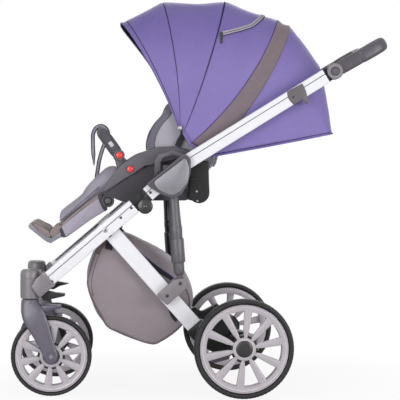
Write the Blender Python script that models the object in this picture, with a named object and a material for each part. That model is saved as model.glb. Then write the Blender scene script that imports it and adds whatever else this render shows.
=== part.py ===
"""Two-in-one pram: chassis with a folding handle frame, sprung rear struts and
swivelling front casters, and a seat unit with a reclining back and a hood.

Metres, +Z up, +X towards the handle, -Y is the child's left side.
The origin is on the floor below the middle of the whole object.
"""

import math

import bmesh
import bpy
from mathutils import Matrix, Vector

# Driving dimensions: running fits
GAP = 0.0004
RUNNING_GAP = 0.0003

# Wheels
REAR_WHEEL_RADIUS = 0.145
FRONT_WHEEL_RADIUS = 0.118
TYRE_WIDTH = 0.040
REAR_RIM_RADIUS = 0.128
FRONT_RIM_RADIUS = 0.105
RIM_BAND = 0.019
HUB_RADIUS = 0.0335
SPOKES = 10
SPOKE_WIDTH_OUTER = 0.023
SPOKE_WIDTH_INNER = 0.0145
WHEEL_SEGMENTS = 24
REAR_TRACK_HALF = 0.28
FRONT_TRACK_HALF = 0.1875
REAR_AXLE_X = 0.120
AXLE_RADIUS = 0.006

# Front casters
SWIVEL_X = -0.498
CASTER_TRAIL = 0.061
HOUSING_RADIUS = 0.029
HOUSING_BOTTOM = 0.286
HOUSING_TOP = 0.371
FORK_NECK_RADIUS = 0.0275
FORK_NECK_BOTTOM = 0.243
FORK_ARM_INSIDE = 0.0225
FORK_ARM_THICK = 0.0115
STEM_RADIUS = 0.008
CROSS_TUBE_RADIUS = 0.011
CROSS_TUBE_BACK = 0.010
CROSS_TUBE_Z = 0.337

# Side frames: rectangular tubes, all in one plane on each side
TUBE_HEIGHT = 0.043
TUBE_INNER_Y = 0.194
TUBE_OUTER_Y = 0.220
TUBE_WALL = 0.002
TUBE_CORNER = 0.004
GROOVE_SHARE = 0.36
GROOVE_DEPTH = 0.0008
LOWER_SLOPE = math.radians(40.5)
UPPER_SLOPE = math.radians(31.7)
FOLD_PIVOT = (-0.163, 0.555)
HINGE_AXIS_BELOW_TUBE = 0.0215
LOWER_TUBE_LENGTH = 0.335
LOWER_TUBE_STOP = 0.0245
STUB_STOP = 0.0285
STUB_LENGTH = 0.130
UPPER_TUBE_LENGTH = 0.498
HINGE_RADIUS = 0.0224
KNUCKLE_RADIUS = 0.0205
PIN_RADIUS = 0.005

# Rear legs and struts
LEG_PIVOT = (-0.279, 0.486)
LEG_SLOPE = math.radians(-48.6)
LEG_OFFSET = 0.008
LEG_WIDTH = 0.048
LEG_LENGTH = 0.418
LEG_INNER_Y = 0.170
LEG_OUTER_Y = 0.190
STRUT_FOOT = (-0.061, 0.330)
STRUT_HEAD = (-0.080, 0.590)
STRUT_Y = 0.205
STRUT_HEAD_RADIUS = 0.0145
ROD_BOTTOM_RADIUS = 0.0182
SLEEVE_RADIUS = 0.0205
SLEEVE_FOOT_RADIUS = 0.016
STRUT_TRAVEL = 0.012
AXLE_BEAM_RADIUS = 0.011

# Handle
HANDLE_PIVOT = (0.394, 0.950)
HANDLE_SLOPE = math.radians(30.0)
HANDLE_REACH = 0.1535
HANDLE_DISC_RADIUS = 0.024
HANDLE_ARM_HEIGHT = 0.040
HANDLE_BAR_HEIGHT = 0.034
BUTTON_RADIUS = 0.012
BUTTON_TRAVEL = 0.004

# Seat unit
SEAT_SIDE_Y = 0.1485
SEAT_SIDE_THICK = 0.004
ARMREST_OUTER_Y = 0.166
SEAT_PAN_Z = 0.588
RECLINE_PIVOT = (-0.007, 0.595)
BACK_FOOT = (0.018, 0.668)
BACK_HEAD = (0.385, 0.779)
BACK_SLOPE = math.atan2(BACK_HEAD[1] - BACK_FOOT[1], BACK_HEAD[0] - BACK_FOOT[0])
BACK_BOARD = 0.008
LEG_REST_PIVOT = (-0.271, 0.569)
BAR_PIVOT = (-0.238, 0.704)
BAR_RADIUS = 0.0165
ARMREST_BUTTON = (-0.206, 0.663)
RED_BUTTON_RADIUS = 0.0099
RED_BUTTON_TRAVEL = 0.003
WING_Y = 0.134
WING_THICK = 0.0115
CANOPY_SKIN = 0.003

# Basket
BASKET_HALF_WIDTH = 0.1525
BASKET_WALL = 0.004

SIDES = {"left": -1, "right": 1}

PALETTE = {
    "white_tube": ((0.86, 0.86, 0.88), 0.35, 0.0),
    "dark_plastic": ((0.10, 0.095, 0.11), 0.5, 0.0),
    "fork_plastic": ((0.11, 0.10, 0.13), 0.45, 0.0),
    "black_plastic": ((0.02, 0.02, 0.022), 0.55, 0.0),
    "silver_cover": ((0.32, 0.32, 0.34), 0.35, 0.3),
    "wheel_silver": ((0.42, 0.41, 0.43), 0.4, 0.2),
    "tyre_black": ((0.025, 0.023, 0.025), 0.75, 0.0),
    "axle_steel": ((0.5, 0.5, 0.5), 0.3, 1.0),
    "grip_leather": ((0.08, 0.075, 0.085), 0.6, 0.0),
    "red_button": ((0.80, 0.04, 0.03), 0.4, 0.0),
    "hood_purple": ((0.20, 0.14, 0.42), 0.8, 0.0),
    "basket_grey": ((0.22, 0.18, 0.19), 0.8, 0.0),
    "seat_lavender": ((0.42, 0.40, 0.46), 0.85, 0.0),
    "seat_grey": ((0.12, 0.11, 0.13), 0.6, 0.0),
}


# Scene, bodies and materials

def clear_scene():
    for obj in list(bpy.data.objects):
        bpy.data.objects.remove(obj)


def make_materials():
    made = {}
    for name, (colour, roughness, metallic) in PALETTE.items():
        material = bpy.data.materials.new(name)
        material.use_nodes = True
        shader = material.node_tree.nodes["Principled BSDF"]
        shader.inputs["Base Color"].default_value = (*colour, 1.0)
        shader.inputs["Roughness"].default_value = roughness
        shader.inputs["Metallic"].default_value = metallic
        made[name] = material
    return made


def make_body(name, origin, parent=None):
    """An empty on the joint's axis, which carries the pieces of one moving body."""
    empty = bpy.data.objects.new("body_" + name, None)
    bpy.context.collection.objects.link(empty)
    empty["world_origin"] = origin
    if parent is None:
        empty.location = origin
    else:
        empty.parent = parent
        empty.location = Vector(origin) - Vector(parent["world_origin"])
    return empty


# Outlines in the XZ plane

def along(start, angle, distance, rise=0.0):
    """The point at a distance along a slope from start, and a rise square to it."""
    x = start[0] + distance * math.cos(angle) - rise * math.sin(angle)
    z = start[1] + distance * math.sin(angle) + rise * math.cos(angle)
    return (x, z)


def slanted_box(start, angle, length, low, high, begin=0.0):
    """Four corners of a rectangle that runs along a slope."""
    return [
        along(start, angle, begin, low),
        along(start, angle, length, low),
        along(start, angle, length, high),
        along(start, angle, begin, high),
    ]


def circle(centre, radius, count, phase=0.0, begin=0.0, end=2 * math.pi):
    """Points on a circle or, where begin and end are given, on an arc of it."""
    whole = end - begin >= 2 * math.pi - 1e-9
    steps = count if whole else count - 1
    return [
        (
            centre[0] + radius * math.cos(phase + begin + (end - begin) * i / steps),
            centre[1] + radius * math.sin(phase + begin + (end - begin) * i / steps),
        )
        for i in range(count)
    ]


def rounded(outline, radius, steps=3):
    """The outline with each corner replaced by a short arc."""
    points = []
    count = len(outline)
    for i, corner in enumerate(outline):
        here = Vector(corner)
        before = Vector(outline[i - 1]) - here
        after = Vector(outline[(i + 1) % count]) - here
        reach = min(radius, 0.45 * before.length, 0.45 * after.length)
        start = here + before.normalized() * reach
        finish = here + after.normalized() * reach
        for k in range(steps + 1):
            t = k / steps
            point = (1 - t) ** 2 * start + 2 * t * (1 - t) * here + t * t * finish
            points.append((point.x, point.y))
    return points


# Solids

def mesh_from(bm, name):
    bmesh.ops.recalc_face_normals(bm, faces=bm.faces)
    mesh = bpy.data.meshes.new(name)
    bm.to_mesh(mesh)
    bm.free()
    return mesh


def skin(rings, closed_path=False):
    """A closed mesh through rings of points; its ends are capped unless the path closes."""
    bm = bmesh.new()
    rows = [[bm.verts.new(point) for point in ring] for ring in rings]
    pairs = list(zip(rows, rows[1:]))
    if closed_path:
        pairs.append((rows[-1], rows[0]))
    for first, second in pairs:
        count = len(first)
        for i in range(count):
            j = (i + 1) % count
            bm.faces.new((first[i], first[j], second[j], second[i]))
    if not closed_path:
        bm.faces.new(rows[0])
        bm.faces.new(rows[-1])
    return mesh_from(bm, "skin")


def prism(outline, y_low, y_high, side=1):
    """An XZ outline given thickness along Y, on one side of the pram."""
    rings = [[(x, side * y, z) for x, z in outline] for y in (y_low, y_high)]
    return skin(rings)


def block(low, high, side=1):
    outline = [(low[0], low[2]), (high[0], low[2]), (high[0], high[2]), (low[0], high[2])]
    return prism(outline, low[1], high[1], side)


def turned_y(profile, centre, side=1, segments=24, phase=0.0):
    """A closed (radius, y) profile turned about a line along Y through the XZ centre."""
    rings = []
    for i in range(segments):
        angle = phase + 2 * math.pi * i / segments
        rings.append([
            (centre[0] + r * math.cos(angle), side * y, centre[1] + r * math.sin(angle))
            for r, y in profile
        ])
    return skin(rings, closed_path=True)


def rod_y(centre, radius, y_low, y_high, side=1, segments=16):
    return prism(circle(centre, radius, segments), y_low, y_high, side)


def rod_z(centre, radius, z_low, z_high, segments=24, top_radius=None):
    """A vertical round bar, tapered if it has a top radius."""
    top = radius if top_radius is None else top_radius
    rings = []
    for r, z in ((radius, z_low), (top, z_high)):
        rings.append([(x, y, z) for x, y in circle(centre, r, segments)])
    return skin(rings)


def round_bar(stations, segments=12):
    """A round bar through (point, radius) stations; its rings are square to the path."""
    rings = []
    points = [Vector(point) for point, _ in stations]
    for i, (_, radius) in enumerate(stations):
        before = points[max(i - 1, 0)]
        after = points[min(i + 1, len(points) - 1)]
        heading = (after - before).normalized()
        across = heading.cross(Vector((0, 1, 0)))
        if across.length < 0.3:
            across = heading.cross(Vector((0.55, 0, -0.83)))
        across.normalize()
        up = across.cross(heading)
        rings.append([
            points[i] + radius * (math.cos(a) * across + math.sin(a) * up)
            for a in (2 * math.pi * k / segments for k in range(segments))
        ])
    return skin(rings)


def helper(mesh, name):
    """A hidden solid that a Boolean uses."""
    obj = bpy.data.objects.new(name, mesh)
    bpy.context.collection.objects.link(obj)
    obj.hide_render = True
    obj.display_type = "WIRE"
    return obj


def piece(name, mesh, material, body, add=(), cut=(), smooth=False):
    """One named solid on a body, with the solids that are joined to it and cut from it."""
    obj = bpy.data.objects.new(name, mesh)
    bpy.context.collection.objects.link(obj)
    obj.parent = body
    mesh.name = name
    mesh.transform(Matrix.Translation(-Vector(body["world_origin"])))
    mesh.materials.append(material)
    for operation, solids in (("UNION", add), ("DIFFERENCE", cut)):
        for i, solid in enumerate(solids):
            boolean = obj.modifiers.new(f"{operation.lower()}_{i}", "BOOLEAN")
            boolean.operation = operation
            boolean.solver = "EXACT"
            boolean.object = helper(solid, f"{name}_{operation.lower()}_{i}")
    if smooth:
        mesh.shade_smooth()
        mesh.set_sharp_from_angle(angle=math.radians(35))
    return obj


# Rectangular tube sections

TUBE_MIDDLE_Y = (TUBE_INNER_Y + TUBE_OUTER_Y) / 2
TUBE_HALF_Y = (TUBE_OUTER_Y - TUBE_INNER_Y) / 2


def tube_ring(centre, angle, side, inset=0.0, groove=False):
    """One ring of the rounded rectangular tube, square to its slope."""
    half_height = TUBE_HEIGHT / 2 - inset
    half_width = TUBE_HALF_Y - inset
    corner = max(TUBE_CORNER - inset, 0.001)
    section = [
        (-half_width, -half_height + corner),
        (-half_width + corner, -half_height),
        (half_width - corner, -half_height),
        (half_width, -half_height + corner),
    ]
    if groove:
        line = half_height - TUBE_HEIGHT * GROOVE_SHARE
        section += [
            (half_width, line - GROOVE_DEPTH),
            (half_width - GROOVE_DEPTH, line),
            (half_width, line + GROOVE_DEPTH),
        ]
    section += [
        (half_width, half_height - corner),
        (half_width - corner, half_height),
        (-half_width + corner, half_height),
        (-half_width, half_height - corner),
    ]
    ring = []
    for across, rise in section:
        x, z = along(centre, angle, 0.0, rise)
        ring.append((x, side * (TUBE_MIDDLE_Y + across), z))
    return ring


def tube_bore(stations, side, inset, reach=0.004):
    """The inside of a tube, run a little past both ends."""
    first, last = stations[0], stations[-1]
    ends = [(along(first[0], first[1], -reach), first[1])]
    ends += list(stations[1:-1])
    ends += [(along(last[0], last[1], reach), last[1])]
    return skin([tube_ring(centre, angle, side, inset) for centre, angle in ends])


def tube_plug(start, angle, length, side):
    """The spigot of a fitting that fills the end of a tube."""
    inset = TUBE_WALL + GAP
    rings = [
        tube_ring(start, angle, side, inset),
        tube_ring(along(start, angle, length), angle, side, inset),
    ]
    return skin(rings)


# The two collinear tubes at the fold: the hinge axis lies at their lower edge
AXIS_TO_CENTRE = HINGE_AXIS_BELOW_TUBE
LOWER_TUBE_TOP = along(FOLD_PIVOT, LOWER_SLOPE, -LOWER_TUBE_STOP, AXIS_TO_CENTRE)
LOWER_TUBE_FOOT = along(LOWER_TUBE_TOP, LOWER_SLOPE, -LOWER_TUBE_LENGTH)
STUB_START = along(FOLD_PIVOT, LOWER_SLOPE, STUB_STOP, AXIS_TO_CENTRE)
TUBE_BEND = along(STUB_START, LOWER_SLOPE, STUB_LENGTH)
UPPER_TUBE_TOP = along(TUBE_BEND, UPPER_SLOPE, UPPER_TUBE_LENGTH)


def upper_tube_stations():
    """Stub, a three-step bend and the long straight run up to the handle."""
    bend_reach = 0.012
    middle = (LOWER_SLOPE + UPPER_SLOPE) / 2
    return [
        (STUB_START, LOWER_SLOPE),
        (along(TUBE_BEND, LOWER_SLOPE, -bend_reach), LOWER_SLOPE),
        (along(TUBE_BEND, middle + math.pi / 2, -0.0003), middle),
        (along(TUBE_BEND, UPPER_SLOPE, bend_reach), UPPER_SLOPE),
        (UPPER_TUBE_TOP, UPPER_SLOPE),
    ]


# Chassis, front

KNUCKLE_Y = (0.2013, 0.2127)


def front_leg_tube(side):
    stations = [(LOWER_TUBE_FOOT, LOWER_SLOPE), (LOWER_TUBE_TOP, LOWER_SLOPE)]
    shell = skin([tube_ring(c, a, side, groove=True) for c, a in stations])
    bolt_hole = rod_y(LEG_PIVOT, PIN_RADIUS + RUNNING_GAP, 0.190, 0.224, side)
    return shell, [tube_bore(stations, side, TUBE_WALL), bolt_hole]


def caster_housing(side):
    """Upright housing with a collar that takes the foot of the tube."""
    centre = (SWIVEL_X, side * FRONT_TRACK_HALF)
    barrel = rod_z(centre, HOUSING_RADIUS, HOUSING_BOTTOM, HOUSING_TOP - 0.004)
    lid = rod_z(centre, HOUSING_RADIUS, HOUSING_TOP - 0.006, HOUSING_TOP, 24,
                HOUSING_RADIUS - 0.004)
    wall = 0.0035
    half = TUBE_HEIGHT / 2 + wall
    collar_foot = along(LOWER_TUBE_FOOT, LOWER_SLOPE, -0.040)
    collar = [
        along(collar_foot, LOWER_SLOPE, -0.004, 0.6 * half),
        along(collar_foot, LOWER_SLOPE, -0.006, -half),
        along(LOWER_TUBE_FOOT, LOWER_SLOPE, 0.012, -half),
        along(LOWER_TUBE_FOOT, LOWER_SLOPE, 0.012, half),
        along(LOWER_TUBE_FOOT, LOWER_SLOPE, -0.020, half),
    ]
    collar_solid = prism(rounded(collar, 0.006, 2), TUBE_INNER_Y - wall,
                         TUBE_OUTER_Y + wall, side)
    start = along(LOWER_TUBE_FOOT, LOWER_SLOPE, -GAP)
    socket = skin([
        tube_ring(start, LOWER_SLOPE, side, -GAP),
        tube_ring(along(start, LOWER_SLOPE, 0.03), LOWER_SLOPE, side, -GAP),
    ])
    spigot_cut_length = 0.028
    plug = tube_plug(along(start, LOWER_SLOPE, -0.002), LOWER_SLOPE, spigot_cut_length, side)
    stem_bore = rod_z(centre, STEM_RADIUS + RUNNING_GAP, HOUSING_BOTTOM - 0.002,
                      HOUSING_TOP - 0.012, 16)
    return barrel, [lid, collar_solid], [socket], [plug], [stem_bore]


def front_cross_tube():
    """Tube between the two housings, its ends hollowed to fit round them."""
    centre = (SWIVEL_X + CROSS_TUBE_BACK, CROSS_TUBE_Z)
    tube = rod_y(centre, CROSS_TUBE_RADIUS, -FRONT_TRACK_HALF, FRONT_TRACK_HALF, 1, 16)
    housings = [
        rod_z((SWIVEL_X, side * FRONT_TRACK_HALF), HOUSING_RADIUS + GAP, HOUSING_BOTTOM,
              HOUSING_TOP + 0.01)
        for side in SIDES.values()
    ]
    return tube, housings


def fold_hinge_plug(side):
    """Fitting in the top of the front leg, with the middle knuckle of the fold hinge."""
    tube_end = along(LOWER_TUBE_TOP, LOWER_SLOPE, GAP)
    plug = tube_plug(along(tube_end, LOWER_SLOPE, 0.001), LOWER_SLOPE, -0.030, side)
    clear = HINGE_RADIUS + GAP
    head = [
        along(tube_end, LOWER_SLOPE, 0.0, TUBE_HEIGHT / 2 - 0.001),
        along(tube_end, LOWER_SLOPE, 0.0, clear - AXIS_TO_CENTRE + 0.0005),
        along(FOLD_PIVOT, LOWER_SLOPE, 0.0085, clear + 0.0005),
        along(FOLD_PIVOT, LOWER_SLOPE, 0.0085, TUBE_HEIGHT - 0.0035),
    ]
    head_solid = prism(head, TUBE_INNER_Y + 0.0005, TUBE_OUTER_Y - 0.0005, side)
    neck = [
        along(tube_end, LOWER_SLOPE, 0.0, 0.012),
        along(tube_end, LOWER_SLOPE, 0.0, -0.0195),
        along(FOLD_PIVOT, LOWER_SLOPE, 0.0, -0.012),
        along(FOLD_PIVOT, LOWER_SLOPE, 0.006, 0.026),
        along(FOLD_PIVOT, LOWER_SLOPE, -0.012, 0.030),
    ]
    neck_solid = prism(neck, KNUCKLE_Y[0], KNUCKLE_Y[1], side)
    knuckle = rod_y(FOLD_PIVOT, KNUCKLE_RADIUS, KNUCKLE_Y[0], KNUCKLE_Y[1], side, 20)
    hole = rod_y(FOLD_PIVOT, PIN_RADIUS + RUNNING_GAP, 0.19, 0.225, side)
    return plug, [head_solid, neck_solid, knuckle], [hole]


def hinge_clevis(side):
    """Fitting in the foot of the handle frame, with two cheeks and the hinge pin."""
    tube_end = along(STUB_START, LOWER_SLOPE, -GAP)
    plug = tube_plug(along(tube_end, LOWER_SLOPE, -0.001), LOWER_SLOPE, 0.028, side)
    inner = (TUBE_INNER_Y + 0.0005, KNUCKLE_Y[0] - RUNNING_GAP)
    outer = (KNUCKLE_Y[1] + RUNNING_GAP, TUBE_OUTER_Y + 0.0010)
    added = []
    for low, high in (inner, outer):
        cheek = rounded([
            along(tube_end, LOWER_SLOPE, 0.0, -TUBE_HEIGHT / 2 + 0.001),
            along(tube_end, LOWER_SLOPE, 0.0, 0.008),
            along(FOLD_PIVOT, LOWER_SLOPE, 0.008, HINGE_RADIUS - 0.003),
            along(FOLD_PIVOT, LOWER_SLOPE, 0.0, -0.008),
        ], 0.004, 1)
        added.append(prism(cheek, low, high, side))
        added.append(rod_y(FOLD_PIVOT, HINGE_RADIUS, low, high, side, 24))
    ear = [
        along(tube_end, LOWER_SLOPE, 0.0, -TUBE_HEIGHT / 2 + 0.004),
        along(tube_end, LOWER_SLOPE, 0.0, TUBE_HEIGHT / 2 - 0.003),
        along(FOLD_PIVOT, LOWER_SLOPE, 0.0095, TUBE_HEIGHT - 0.005),
        along(FOLD_PIVOT, LOWER_SLOPE, 0.0095, HINGE_RADIUS + 0.001),
        along(FOLD_PIVOT, LOWER_SLOPE, 0.0225, HINGE_RADIUS - 0.006),
        along(FOLD_PIVOT, LOWER_SLOPE, 0.0225, 0.003),
    ]
    added.append(prism(ear, TUBE_INNER_Y + 0.0005, TUBE_OUTER_Y - 0.0003, side))
    added.append(rod_y(FOLD_PIVOT, PIN_RADIUS, 0.1990, 0.2150, side))
    return plug, added


# Casters

FRONT_AXLE = (SWIVEL_X + CASTER_TRAIL, FRONT_WHEEL_RADIUS)


def fork(side):
    """Neck, crown and two arms, with the stem above and the axle between the arms."""
    centre_y = FRONT_TRACK_HALF
    centre = (SWIVEL_X, side * centre_y)
    neck = rod_z(centre, FORK_NECK_RADIUS, FORK_NECK_BOTTOM, HOUSING_BOTTOM - 0.002)
    stem = rod_z(centre, STEM_RADIUS, FORK_NECK_BOTTOM + 0.01, HOUSING_TOP - 0.014, 16)
    outer = FORK_ARM_INSIDE + FORK_ARM_THICK
    crown = rounded([
        (-0.5245, 0.2405),
        (-0.4700, 0.2445),
        (-0.4080, 0.2580),
        (-0.4080, 0.2660),
        (-0.4550, 0.2690),
        (-0.4900, 0.2600),
        (-0.5260, 0.2520),
    ], 0.004, 2)
    crown_solid = prism(crown, centre_y - outer, centre_y + outer, side)
    arm = [(-0.526, 0.250), (-0.522, 0.238), (-0.496, 0.195), (-0.4585, 0.117)]
    arm += circle(FRONT_AXLE, 0.0213, 7, begin=math.radians(190), end=math.radians(375))
    arm += [(-0.4225, 0.145), (-0.4460, 0.243), (-0.4400, 0.262)]
    arms = []
    for sign in (-1, 1):
        edges = sorted((centre_y + sign * FORK_ARM_INSIDE, centre_y + sign * outer))
        arms.append(prism(arm, edges[0], edges[1], side))
    axle = rod_y(FRONT_AXLE, AXLE_RADIUS, centre_y - outer + 0.003,
                 centre_y + outer - 0.003, side)
    return neck, [stem, crown_solid, *arms, axle]


def swivel_lock(side):
    """Lever between the housing and the fork that pins the caster straight."""
    outline = [
        (-0.4680, 0.3010),
        (-0.4630, 0.2820),
        (-0.4440, 0.2790),
        (-0.4250, 0.2900),
        (-0.3940, 0.2975),
        (-0.4250, 0.3030),
        (-0.4440, 0.3080),
    ]
    lever = prism(rounded(outline, 0.004, 2), FRONT_TRACK_HALF - 0.014,
                  FRONT_TRACK_HALF + 0.014, side)
    relief = rod_z((SWIVEL_X, side * FRONT_TRACK_HALF), HOUSING_RADIUS + GAP,
                   HOUSING_BOTTOM - 0.02, HOUSING_TOP)
    wall = 0.0035
    half = TUBE_HEIGHT / 2 + wall + GAP
    collar_foot = along(LOWER_TUBE_FOOT, LOWER_SLOPE, -0.060)
    room = slanted_box(collar_foot, LOWER_SLOPE, 0.12, -half, half)
    collar_relief = prism(room, TUBE_INNER_Y - wall - GAP, TUBE_OUTER_Y + 0.01, side)
    return lever, [relief, collar_relief]


# Wheels

def wheel_facet_scale(segments):
    """Vertices lie this much further out, so that the flats are at the nominal radius."""
    return 1 / math.cos(math.pi / segments)


def rim(centre, track_half, rim_radius, side):
    """Hub, ten spokes and rim band: a turned profile with ten windows cut through it."""
    inside = rim_radius - RIM_BAND
    y = track_half
    profile = [
        (AXLE_RADIUS + RUNNING_GAP, y - 0.018),
        (HUB_RADIUS, y - 0.018),
        (HUB_RADIUS, y + 0.001),
        (inside, y - 0.002),
        (inside, y - 0.0155),
        (rim_radius, y - 0.0155),
        (rim_radius, y + 0.0155),
        (inside, y + 0.0150),
        (HUB_RADIUS, y + 0.0165),
        (AXLE_RADIUS + RUNNING_GAP, y + 0.0165),
    ]
    scale = wheel_facet_scale(WHEEL_SEGMENTS)
    body = turned_y([(r * scale, h) for r, h in profile], centre, side,
                    WHEEL_SEGMENTS, math.pi / 2 + math.pi / WHEEL_SEGMENTS)
    windows = []
    foot = HUB_RADIUS + 0.004
    head = inside - 0.002
    for i in range(SPOKES):
        angle = math.radians(101.8) + 2 * math.pi * i / SPOKES
        half_gap = math.pi / SPOKES
        foot_half = foot * math.sin(half_gap) - SPOKE_WIDTH_INNER / 2
        head_half = head * math.sin(half_gap) - SPOKE_WIDTH_OUTER / 2
        outline = [
            along(centre, angle, foot * math.cos(half_gap), -foot_half),
            along(centre, angle, head * math.cos(half_gap), -head_half),
            along(centre, angle, head * math.cos(half_gap), head_half),
            along(centre, angle, foot * math.cos(half_gap), foot_half),
        ]
        windows.append(outline)
    return body, prism_group(windows, y - 0.03, y + 0.03, side)


def prism_group(outlines, y_low, y_high, side):
    """Several separate prisms in one mesh, to cut them all at once."""
    bm = bmesh.new()
    for outline in outlines:
        low = [bm.verts.new((x, side * y_low, z)) for x, z in outline]
        high = [bm.verts.new((x, side * y_high, z)) for x, z in outline]
        count = len(outline)
        for i in range(count):
            j = (i + 1) % count
            bm.faces.new((low[i], low[j], high[j], high[i]))
        bm.faces.new(low)
        bm.faces.new(high)
    return mesh_from(bm, "windows")


def tyre(centre, track_half, radius, rim_radius, side):
    half = TYRE_WIDTH / 2
    y = track_half
    seat = rim_radius + GAP
    profile = [
        (seat, y - half + 0.002),
        (radius - 0.004, y - half + 0.002),
        (radius, y - half + 0.010),
        (radius, y + half - 0.010),
        (radius - 0.004, y + half - 0.002),
        (seat, y + half - 0.002),
    ]
    scale = wheel_facet_scale(WHEEL_SEGMENTS)
    return turned_y([(r * scale, h) for r, h in profile], centre, side,
                    WHEEL_SEGMENTS, math.pi / 2 + math.pi / WHEEL_SEGMENTS)


# Handle frame

HUB_DRAWN_TUBE = 0.043
HUB_LIFT = (TUBE_HEIGHT - HUB_DRAWN_TUBE) / 2
HUB_OUTLINE = [
    along((-0.1595, 0.6200), LOWER_SLOPE, 0.0, HUB_LIFT),
    along((-0.0480, 0.7100), UPPER_SLOPE, 0.0, HUB_LIFT),
    (-0.0310, 0.6930),
    (-0.0310, 0.6550),
    (-0.0410, 0.6170),
    (-0.0610, 0.5870),
    (-0.0860, 0.5790),
    (-0.1200, 0.5915),
    (-0.1500, 0.6100),
]
HUB_INNER_Y = 0.1905
HUB_OUTER_Y = 0.240
COVER_OUTER_Y = 0.2495
POCKET_OUTER_Y = 0.2225


def hub_body(side):
    """Casing round the bend of the tube, with the pocket for the strut's head and the loop."""
    outline = rounded(HUB_OUTLINE, 0.008, 2)
    casing = prism(outline, HUB_INNER_Y, HUB_OUTER_Y, side)
    loop = [
        (-0.1360, 0.6420),
        (-0.1340, 0.6870),
        (-0.1230, 0.7060),
        (-0.0810, 0.7175),
        (-0.0400, 0.7030),
        (-0.0430, 0.6950),
        (-0.0820, 0.7050),
        (-0.1090, 0.6975),
        (-0.1185, 0.6850),
        (-0.1170, 0.6550),
    ]
    loop_solid = prism(loop, HUB_INNER_Y, HUB_INNER_Y + 0.016, side)
    channel = tube_bore(upper_tube_stations(), side, -GAP)
    pocket = [
        along(STUB_START, LOWER_SLOPE, -0.03, -TUBE_HEIGHT / 2 + 0.001),
        along(STUB_START, LOWER_SLOPE, -0.03, -0.12),
        (0.02, 0.54),
        along(TUBE_BEND, UPPER_SLOPE, 0.0785, -TUBE_HEIGHT / 2 + 0.0032),
        along(TUBE_BEND, LOWER_SLOPE, 0.0, -TUBE_HEIGHT / 2 + 0.001),
    ]
    pocket_solid = prism(pocket, HUB_INNER_Y - 0.01, POCKET_OUTER_Y, side)
    return casing, [loop_solid], [channel, pocket_solid]


def hub_cover(side):
    """Silver cover plate, crowned a little towards its middle."""
    outline = [
        (-0.1410, 0.6260),
        (-0.0450, 0.6990),
        (-0.0350, 0.6660),
        (-0.0390, 0.6260),
        (-0.0660, 0.5935),
        (-0.0870, 0.5855),
        (-0.1270, 0.6020),
    ]
    outline = rounded(outline, 0.010, 2)
    middle = (-0.085, 0.640)
    rings = []
    for share, y in ((1.0, HUB_OUTER_Y + RUNNING_GAP), (1.0, HUB_OUTER_Y + 0.004),
                     (0.90, HUB_OUTER_Y + 0.0075), (0.60, COVER_OUTER_Y)):
        rings.append([
            (middle[0] + share * (x - middle[0]), side * y, middle[1] + share * (z - middle[1]))
            for x, z in outline
        ])
    return skin(rings)


COLLAR_AT = (0.2850, 0.8820)


def release_collar(side):
    """Sleeve round the tube that is pulled up to unlock the fold."""
    distance = (COLLAR_AT[0] - TUBE_BEND[0]) / math.cos(UPPER_SLOPE)
    wall = 0.003
    half = TUBE_HEIGHT / 2 + wall
    centre = along(TUBE_BEND, UPPER_SLOPE, distance)
    outline = [
        along(centre, UPPER_SLOPE, -0.030, half),
        along(centre, UPPER_SLOPE, -0.0265, 0.0),
        along(centre, UPPER_SLOPE, -0.028, -half),
        along(centre, UPPER_SLOPE, 0.0130, -half),
        along(centre, UPPER_SLOPE, 0.0155, -half - 0.014),
        along(centre, UPPER_SLOPE, 0.0190, -half - 0.013),
        along(centre, UPPER_SLOPE, 0.0215, -0.010),
        along(centre, UPPER_SLOPE, 0.0210, 0.010),
        along(centre, UPPER_SLOPE, 0.0160, half),
    ]
    sleeve = prism(outline, HUB_INNER_Y, TUBE_OUTER_Y + wall, side)
    low = along(centre, UPPER_SLOPE, -0.05)
    high = along(centre, UPPER_SLOPE, 0.05)
    bore = skin([
        tube_ring(low, UPPER_SLOPE, side, -GAP),
        tube_ring(high, UPPER_SLOPE, side, -GAP),
    ])
    return sleeve, [bore]


HANDLE_SPLIT_Y = 0.2060


def handle_joint(side):
    """Fixed half of the handle's tilting joint, plugged into the top of the tube."""
    tube_end = along(UPPER_TUBE_TOP, UPPER_SLOPE, GAP)
    plug = tube_plug(along(tube_end, UPPER_SLOPE, 0.002), UPPER_SLOPE, -0.030, side)
    neck = prism([
        along(tube_end, UPPER_SLOPE, 0.0, -0.0205),
        along(HANDLE_PIVOT, UPPER_SLOPE, 0.0, -0.016),
        along(HANDLE_PIVOT, UPPER_SLOPE, 0.0, 0.016),
        along(tube_end, UPPER_SLOPE, 0.0, 0.0205),
    ], TUBE_INNER_Y + 0.0003, HANDLE_SPLIT_Y - RUNNING_GAP, side)
    disc = rod_y(HANDLE_PIVOT, HANDLE_DISC_RADIUS, TUBE_INNER_Y + 0.0003,
                 HANDLE_SPLIT_Y - RUNNING_GAP, side, 24)
    shoulder = prism(slanted_box(tube_end, UPPER_SLOPE, 0.0035, -0.0205, 0.0205),
                     TUBE_INNER_Y + 0.0003, TUBE_OUTER_Y - 0.0003, side)
    return plug, [neck, disc, shoulder]


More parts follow.
